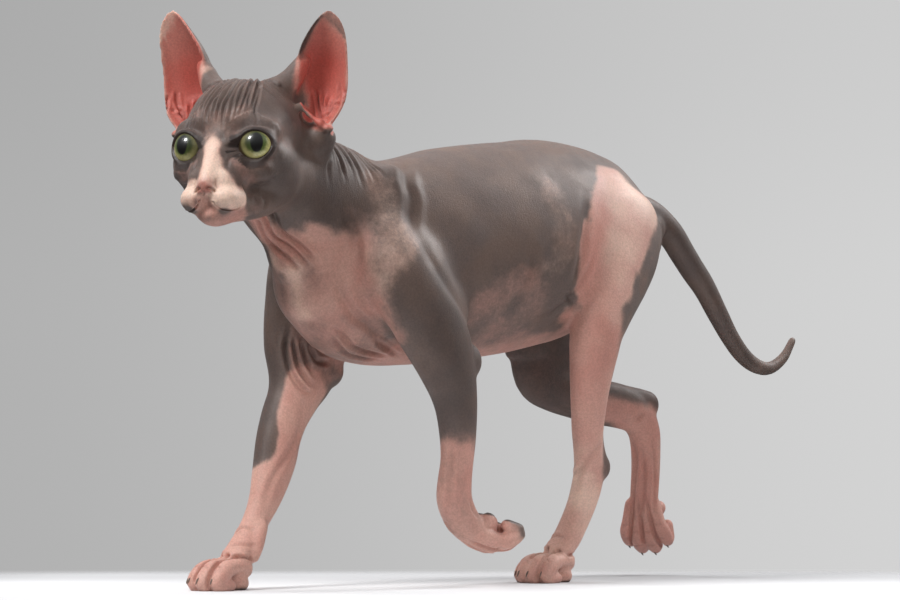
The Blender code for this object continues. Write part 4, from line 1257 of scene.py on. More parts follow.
def body_folds() -> list[Stroke]:
    """Give the folds of the throat, chest, arms, flank, thighs and wrists."""
    return [
        Stroke(((165, 24, 199), (152.2, 13.8, 192.3), (140.9, 16.5, 184.1), (131.9, 18.8, 175.8)), 1.5, 1.9,
               0.8, taper=0.15, shade=0.65),
        Stroke(((166, 18, 197), (153.9, 8.9, 190.9), (142.8, 13.7, 182), (134.3, 16.6, 172.6)), 1.4, 1.8, 0.8,
               taper=0.15, shade=0.65),
        Stroke(((166, 10, 196), (151.4, 1.9, 187.7), (144.1, 10.1, 177.9), (138.2, 12.9, 170.5)), 1.4, 1.6, 0.7,
               taper=0.15, shade=0.6),
        Stroke(((164, -2, 197), (150, -8, 188), (141, -10, 176)), 1.3, 1.1, 0.5, shade=0.35),
        Stroke(((160, -12, 202), (146, -17, 192), (136, -19, 180)), 1.3, 1.0, 0.5, shade=0.35),
        Stroke(((117.9, 11.3, 137.3), (108.9, 10.3, 131.1), (102.1, 8.7, 127.5), (93.5, 10.9, 126),
               (82, 11.4, 124.7)), 1.5, 1.9, 0.9, shade=0.7),
        Stroke(((120.1, 14.2, 141.5), (113.7, 16.4, 138.4), (103.8, 15.2, 131.6), (90.4, 15.8, 128.2),
               (79.2, 16.6, 127.3)), 1.4, 1.6, 0.8, shade=0.65),
        Stroke(((95.3, 22, 134.9), (84.5, 20.6, 130.9), (73.3, 16.4, 126.9)), 1.4, 1.4, 0.8, shade=0.6),
        Stroke(((114, -4, 142), (104, -6, 135), (90, -8, 129)), 1.4, 1.2, 0.5, shade=0.35),
        Stroke(((125.3, 20.8, 173.9), (118, 21.9, 160.1), (109.8, 22, 149.6), (96.2, 22.2, 141.4),
               (75.4, 17.2, 130.1)), 2.6, 1.6, 0.7, both=True, shade=0.3),
        Stroke(((123.1, 28.4, 203.7), (113, 29.5, 188), (111.5, 31.1, 171.8)), 2.6, 1.1, 0.5, both=True,
               shade=0.25),
        Stroke(((80, 38, 203), (82, 45.5, 188), (77, 50, 175), (68, 52, 163), (58, 50.5, 152.5), (49, 47, 142)),
               4.2, 1.5, 0.0, both=True, taper=0.35, shade=0.25),
        Stroke(((70.6, 12.8, 233.4), (79.3, 30.6, 222.5), (79, 34.5, 211.3), (87.1, 45.4, 190.5)), 3.4, 1.4,
               0.7, both=True, shade=0.2),
        Stroke(((-24.7, 45.9, 163.5), (-30.4, 44.6, 160.4), (-33.9, 43.4, 157.2)), 1.6, 1.5, 0.6, both=True,
               shade=0.4),
        Stroke(((-43.7, 43.9, 220.4), (-35, 49.8, 198.9), (-32, 49.6, 180.6), (-30, 45.9, 164.9)), 3.6, 1.6,
               0.6, both=True, shade=0.25),
        Stroke(((-14, 40, 146), (-26, 42, 158), (-36, 44, 172), (-42, 44, 190)), 2.2, 0.9, 0.5, both=True,
               shade=0.25),
        Stroke(((12, 47, 150), (6, 52, 168), (4, 53, 186)), 3.4, 0.8, 0.3, both=True, shade=0.12),
        Stroke(((113.3, -29.2, 143.3), (114.9, -30.6, 132.3), (112.7, -29.9, 119.6), (107.9, -27.1, 110.2),
               (100.3, -26, 105.9)), 1.5, 1.8, 0.9, shade=0.75),
        Stroke(((112, -28.8, 139), (111, -28.6, 132.3), (108.8, -27.6, 121.3), (103.9, -25.9, 114.1),
               (98.5, -25.7, 111.5)), 1.4, 1.8, 0.9, shade=0.75),
        Stroke(((107, -27.4, 136), (105.8, -27.2, 130.7), (103.6, -26.4, 123.6), (99.9, -25.7, 118.6)), 1.4,
               1.7, 0.8, shade=0.75),
        Stroke(((101.5, -26.6, 133), (100.2, -26.3, 129.2), (96.3, -25.9, 124.8), (86.8, -27.3, 124)), 1.5, 1.7,
               0.7, shade=0.8),
        Stroke(((107.3, -25.9, 100.3), (110, -25.9, 83.7), (128.3, -25.1, 59), (135.4, -24.4, 40)), 1.8, 0.7,
               0.3, shade=0.25),
        Stroke(((155, -26.8, 22.9), (149.8, -20.2, 24.1), (143.1, -17.4, 22.9)), 1.1, 0.9, 0.4, shade=0.4),
        Stroke(((150, -36, 27), (146.5, -29, 33), (141, -22, 31)), 1.1, 0.7, 0.35, shade=0.35),
        Stroke(((57.1, 43.2, 79.7), (57, 41.4, 59), (55.5, 37.9, 42.6)), 1.8, 0.8, 0.4, shade=0.25),
        Stroke(((53.1, 32.4, 37.1), (44.7, 31, 28.7)), 1.2, 0.9, 0.4, shade=0.4),
        Stroke(((44, 44, 48), (41, 43, 42), (36, 42, 38)), 1.2, 0.7, 0.35, shade=0.35),
        Stroke(((-61.6, 35.7, 81.5), (-54.7, 30.5, 70), (-54.9, 22.6, 61.4), (-54.9, 21.7, 52.8)), 1.8, 0.9,
               0.4, shade=0.3),
        Stroke(((-52, 27, 66), (-51, 20, 63), (-53, 13, 61)), 1.1, 0.8, 0.4, shade=0.4),
        Stroke(((-46, 21, 26), (-43.5, 13, 28), (-46, 5, 25)), 1.1, 0.7, 0.35, shade=0.35),
        Stroke(((-146.7, -30.1, 84.2), (-147.2, -25.5, 73.2), (-147.4, -27.6, 51.9), (-147.7, -28, 33.7)), 1.6,
               0.9, 0.5, shade=0.3),
        Stroke(((-147.7, -22.4, 79.3), (-149, -20.4, 64.1), (-150.3, -22.7, 30.7)), 1.3, 0.8, 0.6, shade=0.3),
        Stroke(((-152.6, -16.9, 88.4), (-155, -17, 64.1), (-152.6, -17.3, 33.8)), 1.3, 0.7, 0.6, shade=0.3),
        Stroke(((-143, -33, 95), (-146, -25, 97), (-150, -18, 97)), 1.4, 1.0, 0.5, shade=0.35),
        Stroke(((-120, 6, 216), (-124, 9, 208), (-124, 10, 200)), 1.6, 1.0, 0.5, both=True, shade=0.35),
    ]


def folds() -> list[Stroke]:
    """Give every fold of the skin."""
    return body_folds() + nape_folds() + forehead_folds() + face_folds() + ear_folds()


def body_markings() -> list[Marking]:
    """Give the patches of colour on the trunk, tail and legs, with painted highlights and painted shade among
    them.
    """
    # Lines along which painted shade darkens the side of the chest, the side of the neck and the wrist of the
    # lifted foreleg
    chest_shadow = ((130, 18.2, 163.6), (123.6, 20.4, 155.7), (116, 21.1, 146.2), (104, 12, 134))
    neck_shadow = ((134.8, 34.7, 234.6), (122, 25, 229), (117.5, 28.2, 214.9), (119, 28.7, 201.3))
    wrist_shadow = ((54, 39, 72), (50, 37, 54), (44, 35, 44))
    return [
        # Under the trunk and round the chest
        Marking(((118, 22, 172), (100, 0, 142), (60, 0, 124), (10, 0, 124), (-40, 0, 132), (-80, 0, 160)), 31,
                13, Tone.DUSKY_PINK, strength=0.85),
        Marking(((32.3, 37.7, 147.3), (17.7, 46.3, 164.1), (-5.7, 45.1, 159.4), (12.7, 32.1, 139.7)), 13, 8,
                Tone.BROWN, both=True, strength=0.8),
        # Painted shade down the side of the chest, beside the forelegs
        Marking(chest_shadow, 17, 9, Tone.BROWN, both=True, strength=0.65),
        # Painted highlight down the throat and the front of the chest
        Marking(((148, 4, 180), (146.8, 6.6, 178.5), (142.7, 11.9, 173.6), (138.5, 10.7, 166.3),
                (135.2, 9.9, 157.3), (131.3, 9.3, 149.4)), 6.5, 4.5, Tone.CREAM, strength=0.8),
        Marking(((128.2, 13.2, 161.2), (119.3, 14.8, 150.7), (108.1, 13.6, 140.3)), 9, 6, Tone.PINK,
                strength=0.75),
        Marking(((116.6, 28.8, 201.3), (114.9, 28.4, 188), (117.5, 25.6, 176.1)), 9, 5, Tone.PINK, both=True),
        Marking(((131.7, 22, 187.5), (121.7, 22.3, 171.8), (115, 22.5, 155.9)), 10, 5, Tone.PINK, both=True),
        Marking(((109.9, 30.7, 166.5), (100.7, 34.7, 150.5), (93.1, 38.3, 137.1)), 8, 6, Tone.DUSKY_PINK,
                both=True, strength=0.8),
        Marking(((150.6, 29.3, 210), (140.5, 29.1, 213.3), (134.8, 27.8, 205.7)), 9, 5, Tone.DEEP_GREY,
                both=True, strength=0.8),
        Marking(((166, 10, 197), (152, 5, 190), (142, 12, 182)), 9, 5, Tone.DUSKY_PINK),
        # Neck, shoulder, arm and flank
        # Painted shade on the side of the neck behind the head
        Marking(neck_shadow, 13, 9, Tone.DEEP_GREY, both=True, strength=0.5),
        Marking(((66, 50, 132), (58, 48, 118), (53, 46, 104), (50, 42, 84)), 18, 7, Tone.DEEP_GREY,
                strength=0.6),
        # Painted highlight on the shoulder, where the light catches it
        Marking(((99.7, 29, 218.6), (94, 34.9, 204.9), (95.5, 45.5, 187.9), (100.8, 47.8, 171.4)), 12, 9,
                Tone.PAINTED_HIGHLIGHT, both=True, strength=0.9),
        Marking(((86, 48, 160), (72, 51, 142), (60, 49, 124), (53, 46, 108), (50, 43, 92), (50, 42, 80)), 15, 6,
                Tone.DEEP_GREY, strength=0.6),
        # Painted highlight of the sheen along the flank
        Marking(((-15.6, 45.2, 221.9), (-16.4, 50.1, 207.5), (-17.3, 51.6, 190.5), (-15.8, 50.6, 181)), 11, 8,
                Tone.PAINTED_HIGHLIGHT, both=True, strength=0.7),
        Marking(((33.1, 44.6, 160), (20, 46, 162), (5, 48, 166)), 12, 10, Tone.DUSKY_PINK, both=True,
                strength=0.22),
        # Foreleg that stands ahead
        Marking(((108, -25, 148), (106, -25.5, 128), (101.7, -26.1, 114.2)), 10, 3.5, Tone.BROWN),
        Marking(((106, -27, 106), (112, -28, 92), (122.7, -27, 70), (131, -27, 50), (144, -25, 32)), 14.5, 4,
                Tone.PINK),
        Marking(((126, -31, 62), (133, -30, 42), (143, -28, 28), (158, -26, 14), (176, -26, 8)), 20, 5,
                Tone.PINK),
        Marking(((119.9, -39, 158.5), (118, -45, 130), (119, -45, 108), (126, -42.6, 92), (131.5, -39, 80)), 14,
                4, Tone.GREY),
        Marking(((119.9, -39, 158.5), (119, -45, 130), (121, -45, 108), (128, -42.6, 92), (131.5, -39, 80)), 12,
                4, Tone.DEEP_GREY, strength=0.8),
        # Foreleg that swings back
        Marking(((54, 39, 64), (50, 37, 54), (46, 35, 46), (34, 32, 34), (18, 32, 24), (6, 32, 16)), 17, 3,
                Tone.PINK),
        # Painted shade over the wrist
        Marking(wrist_shadow, 20, 8, Tone.BROWN, strength=0.35),
        Marking(((47, 40, 76), (44, 38, 62), (38, 35, 50)), 9, 7, Tone.FLUSH, strength=0.6),
        # Left thigh, leg and paw
        Marking(((-52.1, 32.4, 239.7), (-63.7, 32.5, 237.6), (-78, 26, 241), (-56, 38, 229)), 9, 5,
                Tone.DEEP_GREY, both=True, strength=0.6),
        Marking(((-77, 38, 219), (-68, 43, 206)), 25, 4.5, Tone.PINK),
        Marking(((-68, 43, 206), (-57, 47, 190)), 23.5, 4.5, Tone.PINK),
        Marking(((-57, 47, 190), (-53, 49, 175)), 19.5, 4.5, Tone.PINK),
        Marking(((-53, 49, 175), (-48, 52, 157), (-46, 53, 140)), 12.5, 4.5, Tone.PINK),
        Marking(((-74.9, 41.6, 217.3), (-63.5, 45.2, 204.8), (-57.6, 47.3, 190)), 17, 11, Tone.CREAM,
                strength=0.4),
        # Painted highlight on the top rear edge of the hip
        Marking(((-89.8, 30.3, 231.3), (-90.8, 37.6, 223.2), (-95.8, 39.1, 217.5)), 11, 7, Tone.CREAM,
                strength=0.9),
        Marking(((-50.9, 46.1, 211.5), (-45.5, 48.5, 197.9), (-43, 47.8, 182.4), (-41, 47, 168)), 8, 6,
                Tone.FLUSH, strength=0.75),
        Marking(((-40, 46, 128), (-43, 42, 108), (-48, 36, 92), (-52, 28, 76), (-56, 20, 60), (-56, 16, 40)),
                16, 5, Tone.PINK),
        Marking(((-56, 16, 34), (-48, 13, 18), (-32, 12.5, 8), (-22, 12, 6)), 19, 5, Tone.PINK),
        Marking(((-58, 20, 50), (-52, 13, 26), (-40, 13, 16)), 12, 8, Tone.CREAM, strength=0.4),
        Marking(((-112, 28, 200), (-97, 40, 190), (-89, 43, 175), (-77, 46, 158), (-68, 48, 143),
                (-63, 45, 128)), 11, 4.5, Tone.WARM_GREY),
        Marking(((-112, 26, 196), (-101, 36, 182), (-91, 40, 168), (-80, 43, 152)), 8, 5, Tone.DEEP_GREY,
                strength=0.5),
        Marking(((-72, 30, 96), (-74, 26, 82), (-73, 25, 66)), 7.5, 4, Tone.DARK_BROWN, strength=0.8),
        # Right thigh, leg and paw
        Marking(((-84, -37, 227), (-68, -46, 208), (-62, -48, 188), (-64, -47, 165), (-66, -46, 145)), 11, 6,
                Tone.PINK, strength=0.8),
        Marking(((-62, -28, 148), (-72, -25, 130), (-88, -24, 116), (-106, -24, 108)), 24, 6, Tone.DARK_BROWN),
        Marking(((-112, -22, 100), (-132, -20, 98), (-146, -20, 94)), 10, 5, Tone.DUSKY_PINK, strength=0.9),
        Marking(((-120, -30, 117), (-142, -26, 115), (-157.2, -20, 112), (-164, -24, 104)), 10, 4,
                Tone.DARK_BROWN),
        Marking(((-152, -26, 84), (-152, -26, 60), (-154, -26, 40), (-160, -28, 24), (-165, -31, 14)), 20, 5,
                Tone.DUSKY_PINK),
        Marking(((-163, -34, 70), (-164, -34, 45)), 7, 4, Tone.BROWN),
        # Front of the left leg
        Marking(((-40, 46, 146), (-44, 44, 118), (-50, 40, 98)), 13, 9, Tone.DUSKY_PINK, strength=0.8),
        Marking(((-52, 34, 100), (-58, 25, 84), (-60, 20, 66), (-58, 20, 50)), 8, 5, Tone.CREAM, strength=0.7),
        # Back of the right hock
        Marking(((-118, -40, 122), (-140, -34, 119), (-158, -28, 114)), 11, 4, Tone.DARK_BROWN),
        # Tail
        Marking(((-128, 0, 218), (-165, 0, 194), (-193, 0, 160), (-222, 0, 131), (-240, 0, 129)), 15, 4,
                Tone.DEEP_GREY, strength=0.55),
        Marking(((-150, 4, 200), (-175, 4, 175), (-200, 4, 146)), 4, 3, Tone.GREY, strength=0.5),
        Marking(((-228, 0, 129), (-248, 0, 134), (-259, 0, 146)), 8, 4, Tone.WARM_GREY),
        # Rump
        Marking(((-79.3, 15.9, 248.8), (-89.6, 22, 243.1), (-96.9, 31.3, 231.1)), 8, 5, Tone.GREY, both=True,
                strength=0.8),
        # Painted shade over the pink of the chest, neck, lifted foreleg and left leg
        Marking(chest_shadow, 17, 9, Tone.BROWN, both=True, strength=0.5),
        Marking(neck_shadow, 12, 8, Tone.DEEP_GREY, both=True, strength=0.45),
        Marking(wrist_shadow, 20, 8, Tone.BROWN, strength=0.4),
        Marking(((-44, 46, 146), (-48, 44, 118), (-52, 38, 98)), 16, 9, Tone.DUSKY_PINK, strength=0.6),
    ]


def paw_markings(cat: Cat) -> list[Marking]:
    """Give the dark pads of every paw."""
    made = []
    for paw in cat.paws:
        lines = [((paw.at(reach - 11, offset, -0.6), paw.at(reach - 3, offset * 1.04, -0.8)), 3.2, 1.2)
                 for offset, reach in zip(paw.toe_offsets, paw.toe_reach)]
        lines.append(((paw.at(-6, -6.5, -0.8), paw.at(-1, 0, -0.8), paw.at(-6, 6.5, -0.8)), 4.6, 1.4))
        strength = 1.0 if paw.name == "forepaw_left" else 0.9
        made += [Marking(*line, Tone.PAD, strength=strength) for line in lines]
    return made


def head_markings() -> list[Marking]:
    """Give the patches of colour on the head."""
    return on_head([
        Marking(((-12, 0, 8), (-2, 0, 4)), 44, 8, Tone.BROWN, strength=0.35),
        Marking(((8, 0, 22), (12, 0, 12)), 15, 8, Tone.DEEP_GREY, strength=0.7),
        Marking(((-10, 26, 12), (-20, 30, 8), (-28, 28, 2)), 11, 6, Tone.DEEP_GREY, both=True, strength=0.3),
        Marking(((2.3, 28.6, -9), (-3.5, 31.8, -3.3), (-17.7, 30.1, 6.2)), 6, 4, Tone.TAN, both=True,
                strength=0.35),
        Marking(((2, 27, -14), (-8, 30, -16), (-14, 30, -22)), 11, 5, Tone.DEEP_GREY, both=True, strength=0.75),
        Marking(((11.5, 6, 6.4), (11.4, 2.6, 11.8), (6.2, 13.3, 17.2)), 5, 4, Tone.TAN, both=True,
                strength=0.6),
        Marking(((4, 30, -4), (9, 27, -11), (13, 20, -14), (16, 13, -12)), 3.2, 2.5, Tone.BROWN, both=True,
                strength=0.8),
        Marking(((14, 11, -14), (10, 17, -19), (6, 21, -26), (4, 22, -33)), 6, 4, Tone.BROWN, both=True,
                strength=0.9),
        Marking(((12, 17, -21), (8, 20.5, -27), (4, 22, -31)), 3.2, 2.5, Tone.DARK_BROWN, both=True,
                strength=0.55),
        Marking(((19, 6.5, -5), (20.5, 8, -10), (19, 11, -14)), 3.0, 2.4, Tone.DARK_BROWN, both=True,
                strength=0.6),
        # Pale blaze, muzzle and chin
        Marking(((14.5, -1.5, 1.5), (17, -1, -2.5)), 3.6, 3, Tone.TAN),
        Marking(((17.5, -0.5, -3), (22.3, 0.6, -7.6), (25, 1, -13.1), (28.3, 0.8, -20)), 4.9, 2.6, Tone.CREAM),
        Marking(((22.3, 2, -10), (24.5, 4, -16), (23.1, 10.2, -23.5), (20.6, 14, -28.4)), 5.2, 2.4, Tone.CREAM),
        Marking(((28.5, 0, -29), (27.5, 0, -33)), 8.5, 2.4, Tone.PINK),
        Marking(((27, 5.5, -28), (25.5, 6.5, -32)), 4.6, 2.4, Tone.CREAM, strength=0.7),
        Marking(((24, 8.5, -28), (20, 13.5, -30), (16, 16, -30)), 6.4, 2.4, Tone.CREAM),
        Marking(((24.7, -7.4, -24.5), (22.2, -11.6, -29)), 5.6, 2.2, Tone.CREAM, strength=0.85),
        Marking(((20.5, -12.5, -31.5), (17.5, -15, -31.5)), 3.0, 2.0, Tone.BROWN, strength=0.5),
        Marking(((29.5, -3.6, -29.5), (28.2, -4.4, -32), (27.2, -4.6, -34.5)), 1.7, 1.3, Tone.DARK_BROWN,
                strength=0.75),
        Marking(((18, 0, -43), (10, 0, -45), (12, 8, -42)), 9.5, 4, Tone.DUSKY_PINK, both=True),
        Marking(((24, 0, -41), (19, 8, -40), (12, 14, -37)), 2.6, 1.6, Tone.BROWN, both=True, strength=0.35),
        # Nose leather
        Marking(((30.5, 0, -24.6), (31.5, 0, -27.6)), 3.0, 1.0, Tone.NOSE),
        Marking(((30.5, 0, -25), (30, 3.5, -26.4)), 2.5, 1.0, Tone.NOSE, both=True),
        Marking(((31.8, 0, -29), (31.4, 0, -34.5)), 1.0, 0.8, Tone.DARK_BROWN, strength=0.55),
    ])


def markings(cat: Cat) -> list[Marking]:
    """Give every patch of colour, in the order in which they lie over one another."""
    return body_markings() + paw_markings(cat) + head_markings()


class Nodes:
    """Builds one node tree, so that a look reads as a short recipe."""

    def __init__(self, tree: bpy.types.NodeTree) -> None:
        """Start on a tree."""
        self.tree = tree

    def add(self, kind: str, **settings: object) -> bpy.types.Node:
        """Add one node with its settings."""
        node = self.tree.nodes.new(kind)
        for name, value in settings.items():
            setattr(node, name, value)
        return node

    def feed(self, socket: bpy.types.NodeSocket, value: object) -> None:
        """Feed a socket from another socket or with a plain value."""
        if isinstance(value, bpy.types.NodeSocket):
            self.tree.links.new(value, socket)
        elif value is not None:
            socket.default_value = value

    def fill(self, node: bpy.types.Node, values: dict[str, object]) -> None:
        """Feed some of a node's sockets by their names."""
        for label, value in values.items():
            self.feed(node.inputs[label], value)

    def split(self, kind: str, value: object) -> list[bpy.types.NodeSocket]:
        """Split a colour or a vector into its numbers."""
        node = self.add("ShaderNodeSeparate" + kind)
        self.feed(node.inputs[0], value)
        return list(node.outputs[:3])

    def math(self, operation: str, first: object, second: object = None,
             third: object = None) -> bpy.types.NodeSocket:
        """Work out one number from up to three others."""
        node = self.add("ShaderNodeMath", operation=operation)
        for socket, value in zip(node.inputs, (first, second, third)):
            self.feed(socket, value)
        return node.outputs[0]

    def times(self, first: object, second: object) -> bpy.types.NodeSocket:
        """Multiply two numbers."""
        return self.math("MULTIPLY", first, second)

    def vector(self, operation: str, first: object, second: object = None) -> bpy.types.Node:
        """Work on vectors."""
        node = self.add("ShaderNodeVectorMath", operation=operation)
        for socket, value in zip(node.inputs, (first, second)):
            self.feed(socket, value)
        return node

    def blend(self, share: object, first: object, second: object, way: str = "MIX") -> bpy.types.NodeSocket:
        """Blend two colours."""
        node = self.add("ShaderNodeMix", data_type="RGBA", blend_type=way)
        self.feed(node.inputs["Factor"], share)
        self.feed(node.inputs[6], first)
        self.feed(node.inputs[7], second)
        return node.outputs[2]

    def spread(self, value: object, low: float, high: float, to_low: float = 0.0,
               to_high: float = 1.0) -> bpy.types.NodeSocket:
        """Carry a number smoothly from one range to another."""
        node = self.add("ShaderNodeMapRange", interpolation_type="SMOOTHSTEP")
        for socket, number in zip(node.inputs, (value, low, high, to_low, to_high)):
            self.feed(socket, number)
        return node.outputs[0]

    def grey(self, value: object) -> bpy.types.NodeSocket:
        """Make a grey of one number."""
        node = self.add("ShaderNodeCombineColor")
        for socket in node.inputs[:3]:
            self.feed(socket, value)
        return node.outputs[0]

    def noise(self, place: object, scale: object, detail: float, rough: float) -> bpy.types.NodeSocket:
        """Give a noise value over places."""
        node = self.add("ShaderNodeTexNoise")
        self.fill(node, {"Vector": place, "Scale": scale, "Detail": detail, "Roughness": rough})
        return node.outputs["Fac"]


class Finish(Nodes):
    """The node tree of one finish, started round its shader."""

    def __init__(self, piece: bpy.types.Object, name: str) -> None:
        """Give the piece a new material."""
        material = bpy.data.materials.new(name)
        material.use_nodes = True
        super().__init__(material.node_tree)
        self.shader = self.tree.nodes["Principled BSDF"]
        piece.data.materials.append(material)

    def place(self) -> bpy.types.NodeSocket:
        """Give the place on the piece."""
        return self.add("ShaderNodeTexCoord").outputs["Object"]

    def roughen(self, height: object, strength: float, distance: float) -> None:
        """Give the surface a fine relief."""
        bump = self.add("ShaderNodeBump")
        self.fill(bump, {"Strength": strength, "Distance": distance, "Height": height})
        self.fill(self.shader, {"Normal": bump.outputs[0]})


def effect_group(name: str, inputs: dict[str, tuple[str, object]],
                 outputs: tuple[str, ...]) -> tuple[Nodes, bpy.types.Node, bpy.types.Node]:
    """Start a node group.

    Args:
        name: The group's name.
        inputs: Each input's kind of socket and first value.
        outputs: The names of its outputs, each a number.

    Returns:
        The group's node builder, its input node and its output node.
    """
    group = bpy.data.node_groups.new(name, "ShaderNodeTree")
    for label, (kind, first) in inputs.items():
        socket = group.interface.new_socket(label, in_out="INPUT", socket_type=kind)
        if first is not None:
            socket.default_value = first
    for label in outputs:
        group.interface.new_socket(label, in_out="OUTPUT", socket_type="NodeSocketFloat")
    nodes = Nodes(group)
    return nodes, nodes.add("NodeGroupInput"), nodes.add("NodeGroupOutput")


def skin_grain_group() -> bpy.types.NodeTree:
    """Make the group for the fine grain, pores and soft wrinkles of bare skin."""
    nodes, given, made = effect_group(
        "skin grain",
        {"Place": ("NodeSocketVector", None), "Wrinkle": ("NodeSocketFloat", 1.0),
         "Pore": ("NodeSocketFloat", 1.0)},
        ("Height", "Fleck"),
    )
    place = given.outputs["Place"]
    stretched = nodes.add("ShaderNodeMapping")
    nodes.fill(stretched, {"Vector": place, "Scale": (260, 520, 190)})
    wrinkle = nodes.noise(stretched.outputs[0], 1.0, 4.0, 0.6)
    ridged = nodes.math("SUBTRACT", 1.0, nodes.math("ABSOLUTE", nodes.math("MULTIPLY_ADD", wrinkle, 2.0, -1.0)))
    cells = nodes.add("ShaderNodeTexVoronoi", feature="F1")
    nodes.fill(cells, {"Vector": place, "Scale": 1500})
    pore = nodes.spread(cells.outputs["Distance"], 0.15, 0.6)
    fuzz = nodes.noise(place, 2600.0, 2.0, 0.6)
    height = nodes.times(nodes.times(ridged, given.outputs["Wrinkle"]), 0.5)
    height = nodes.math("ADD", height, nodes.times(nodes.times(pore, given.outputs["Pore"]), 0.22))
    height = nodes.math("ADD", height, nodes.times(fuzz, 0.12))
    nodes.fill(made, {"Height": height, "Fleck": nodes.noise(place, 900.0, 3.0, 0.65)})
    return nodes.tree


def mottle_group() -> bpy.types.NodeTree:
    """Make the group that breaks up the border between grey and pink skin."""
    nodes, given, made = effect_group(
        "mottle",
        {"Place": ("NodeSocketVector", None), "Share": ("NodeSocketFloat", 0.5),
         "Break": ("NodeSocketFloat", 0.4)},
        ("Share", "Cloud"),
    )
    place = given.outputs["Place"]
    coarse = nodes.noise(place, 110.0, 4.0, 0.6)
    fine = nodes.noise(place, 420.0, 3.0, 0.6)
    both = nodes.math("ADD", nodes.times(coarse, 0.6), nodes.times(fine, 0.4))
    shift = nodes.times(nodes.math("SUBTRACT", both, 0.5), given.outputs["Break"])
    nodes.fill(made, {"Share": nodes.math("ADD", given.outputs["Share"], shift),
                      "Cloud": nodes.noise(place, 45.0, 4.0, 0.55)})
    return nodes.tree


@dataclass(frozen=True)
class SkinLook:
    """The finish of bare skin with a very short down.

    Attributes:
        grey: Pigmented skin.
        warm_grey: Pigmented skin where the blood shows through.
        deep_grey: The darkest skin.
        pink: Skin without pigment.
        cream: The palest skin.
        red: The flushed skin inside the ears.
        flush: The blood that shows in patches through skin without pigment.
        fold: The painted shade that the skin is multiplied by at the bottom of a fold.
        roughness: How matt it is.
    """

    grey: Row = (0.128, 0.094, 0.083, 1)
    warm_grey: Row = (0.155, 0.106, 0.087, 1)
    deep_grey: Row = (0.026, 0.016, 0.014, 1)
    pink: Row = (0.560, 0.360, 0.292, 1)
    cream: Row = (0.830, 0.620, 0.500, 1)
    red: Row = (0.530, 0.082, 0.060, 1)
    flush: Row = (0.42, 0.17, 0.14, 1)
    fold: Row = (0.30, 0.20, 0.18, 1)
    roughness: float = 0.52

    def dress(self, piece: bpy.types.Object) -> None:
        """Give the piece this finish."""
        nodes = Finish(piece, "skin")
        place = nodes.place()
        grey_share, redness, paleness = nodes.split(
            "Color", nodes.add("ShaderNodeVertexColor", layer_name="coat").outputs["Color"])
        darkness, crease, wet = nodes.split(
            "Color", nodes.add("ShaderNodeVertexColor", layer_name="shade").outputs["Color"])
        mottle = nodes.add("ShaderNodeGroup", node_tree=mottle_group())
        nodes.fill(mottle, {"Place": place, "Share": grey_share, "Break": 0.55})
        grain = nodes.add("ShaderNodeGroup", node_tree=skin_grain_group())
        nodes.fill(grain, {"Place": place})
        pigment = nodes.spread(mottle.outputs["Share"], 0.22, 0.82)
        cloud = nodes.spread(mottle.outputs["Cloud"], 0.35, 0.65)
        bare = nodes.blend(paleness, self.pink, self.cream)
        bare = nodes.blend(nodes.times(cloud, 0.3), bare, self.flush)
        bare = nodes.blend(redness, bare, self.red)
        colour = nodes.blend(pigment, bare, nodes.blend(cloud, self.grey, self.warm_grey))
        colour = nodes.blend(darkness, colour, self.deep_grey)
        fleck = nodes.spread(grain.outputs["Fleck"], 0.3, 0.7, 0.88, 1.1)
        colour = nodes.blend(1.0, colour, nodes.grey(fleck), "MULTIPLY")
        crease_shaded = nodes.blend(1.0, colour, self.fold, "MULTIPLY")
        matt = nodes.spread(cloud, 0.0, 1.0, self.roughness + 0.06, self.roughness - 0.05)
        nodes.fill(nodes.shader, {
            # Painted shade: the skin darkens towards the fold colour at the bottom of creases, folds and the
            # gaps between the toes
            "Base Color": nodes.blend(nodes.times(crease, 0.75), colour, crease_shaded),
            "Roughness": nodes.math("SUBTRACT", matt, nodes.times(wet, 0.3)),
            "Subsurface Weight": 0.12, "Subsurface Radius": (1.0, 0.35, 0.22), "Subsurface Scale": 0.0035,
            "Sheen Weight": 0.07, "Sheen Roughness": 0.45, "Specular IOR Level": 0.38,
        })
        nodes.roughen(grain.outputs["Height"], 0.55, 0.0004)


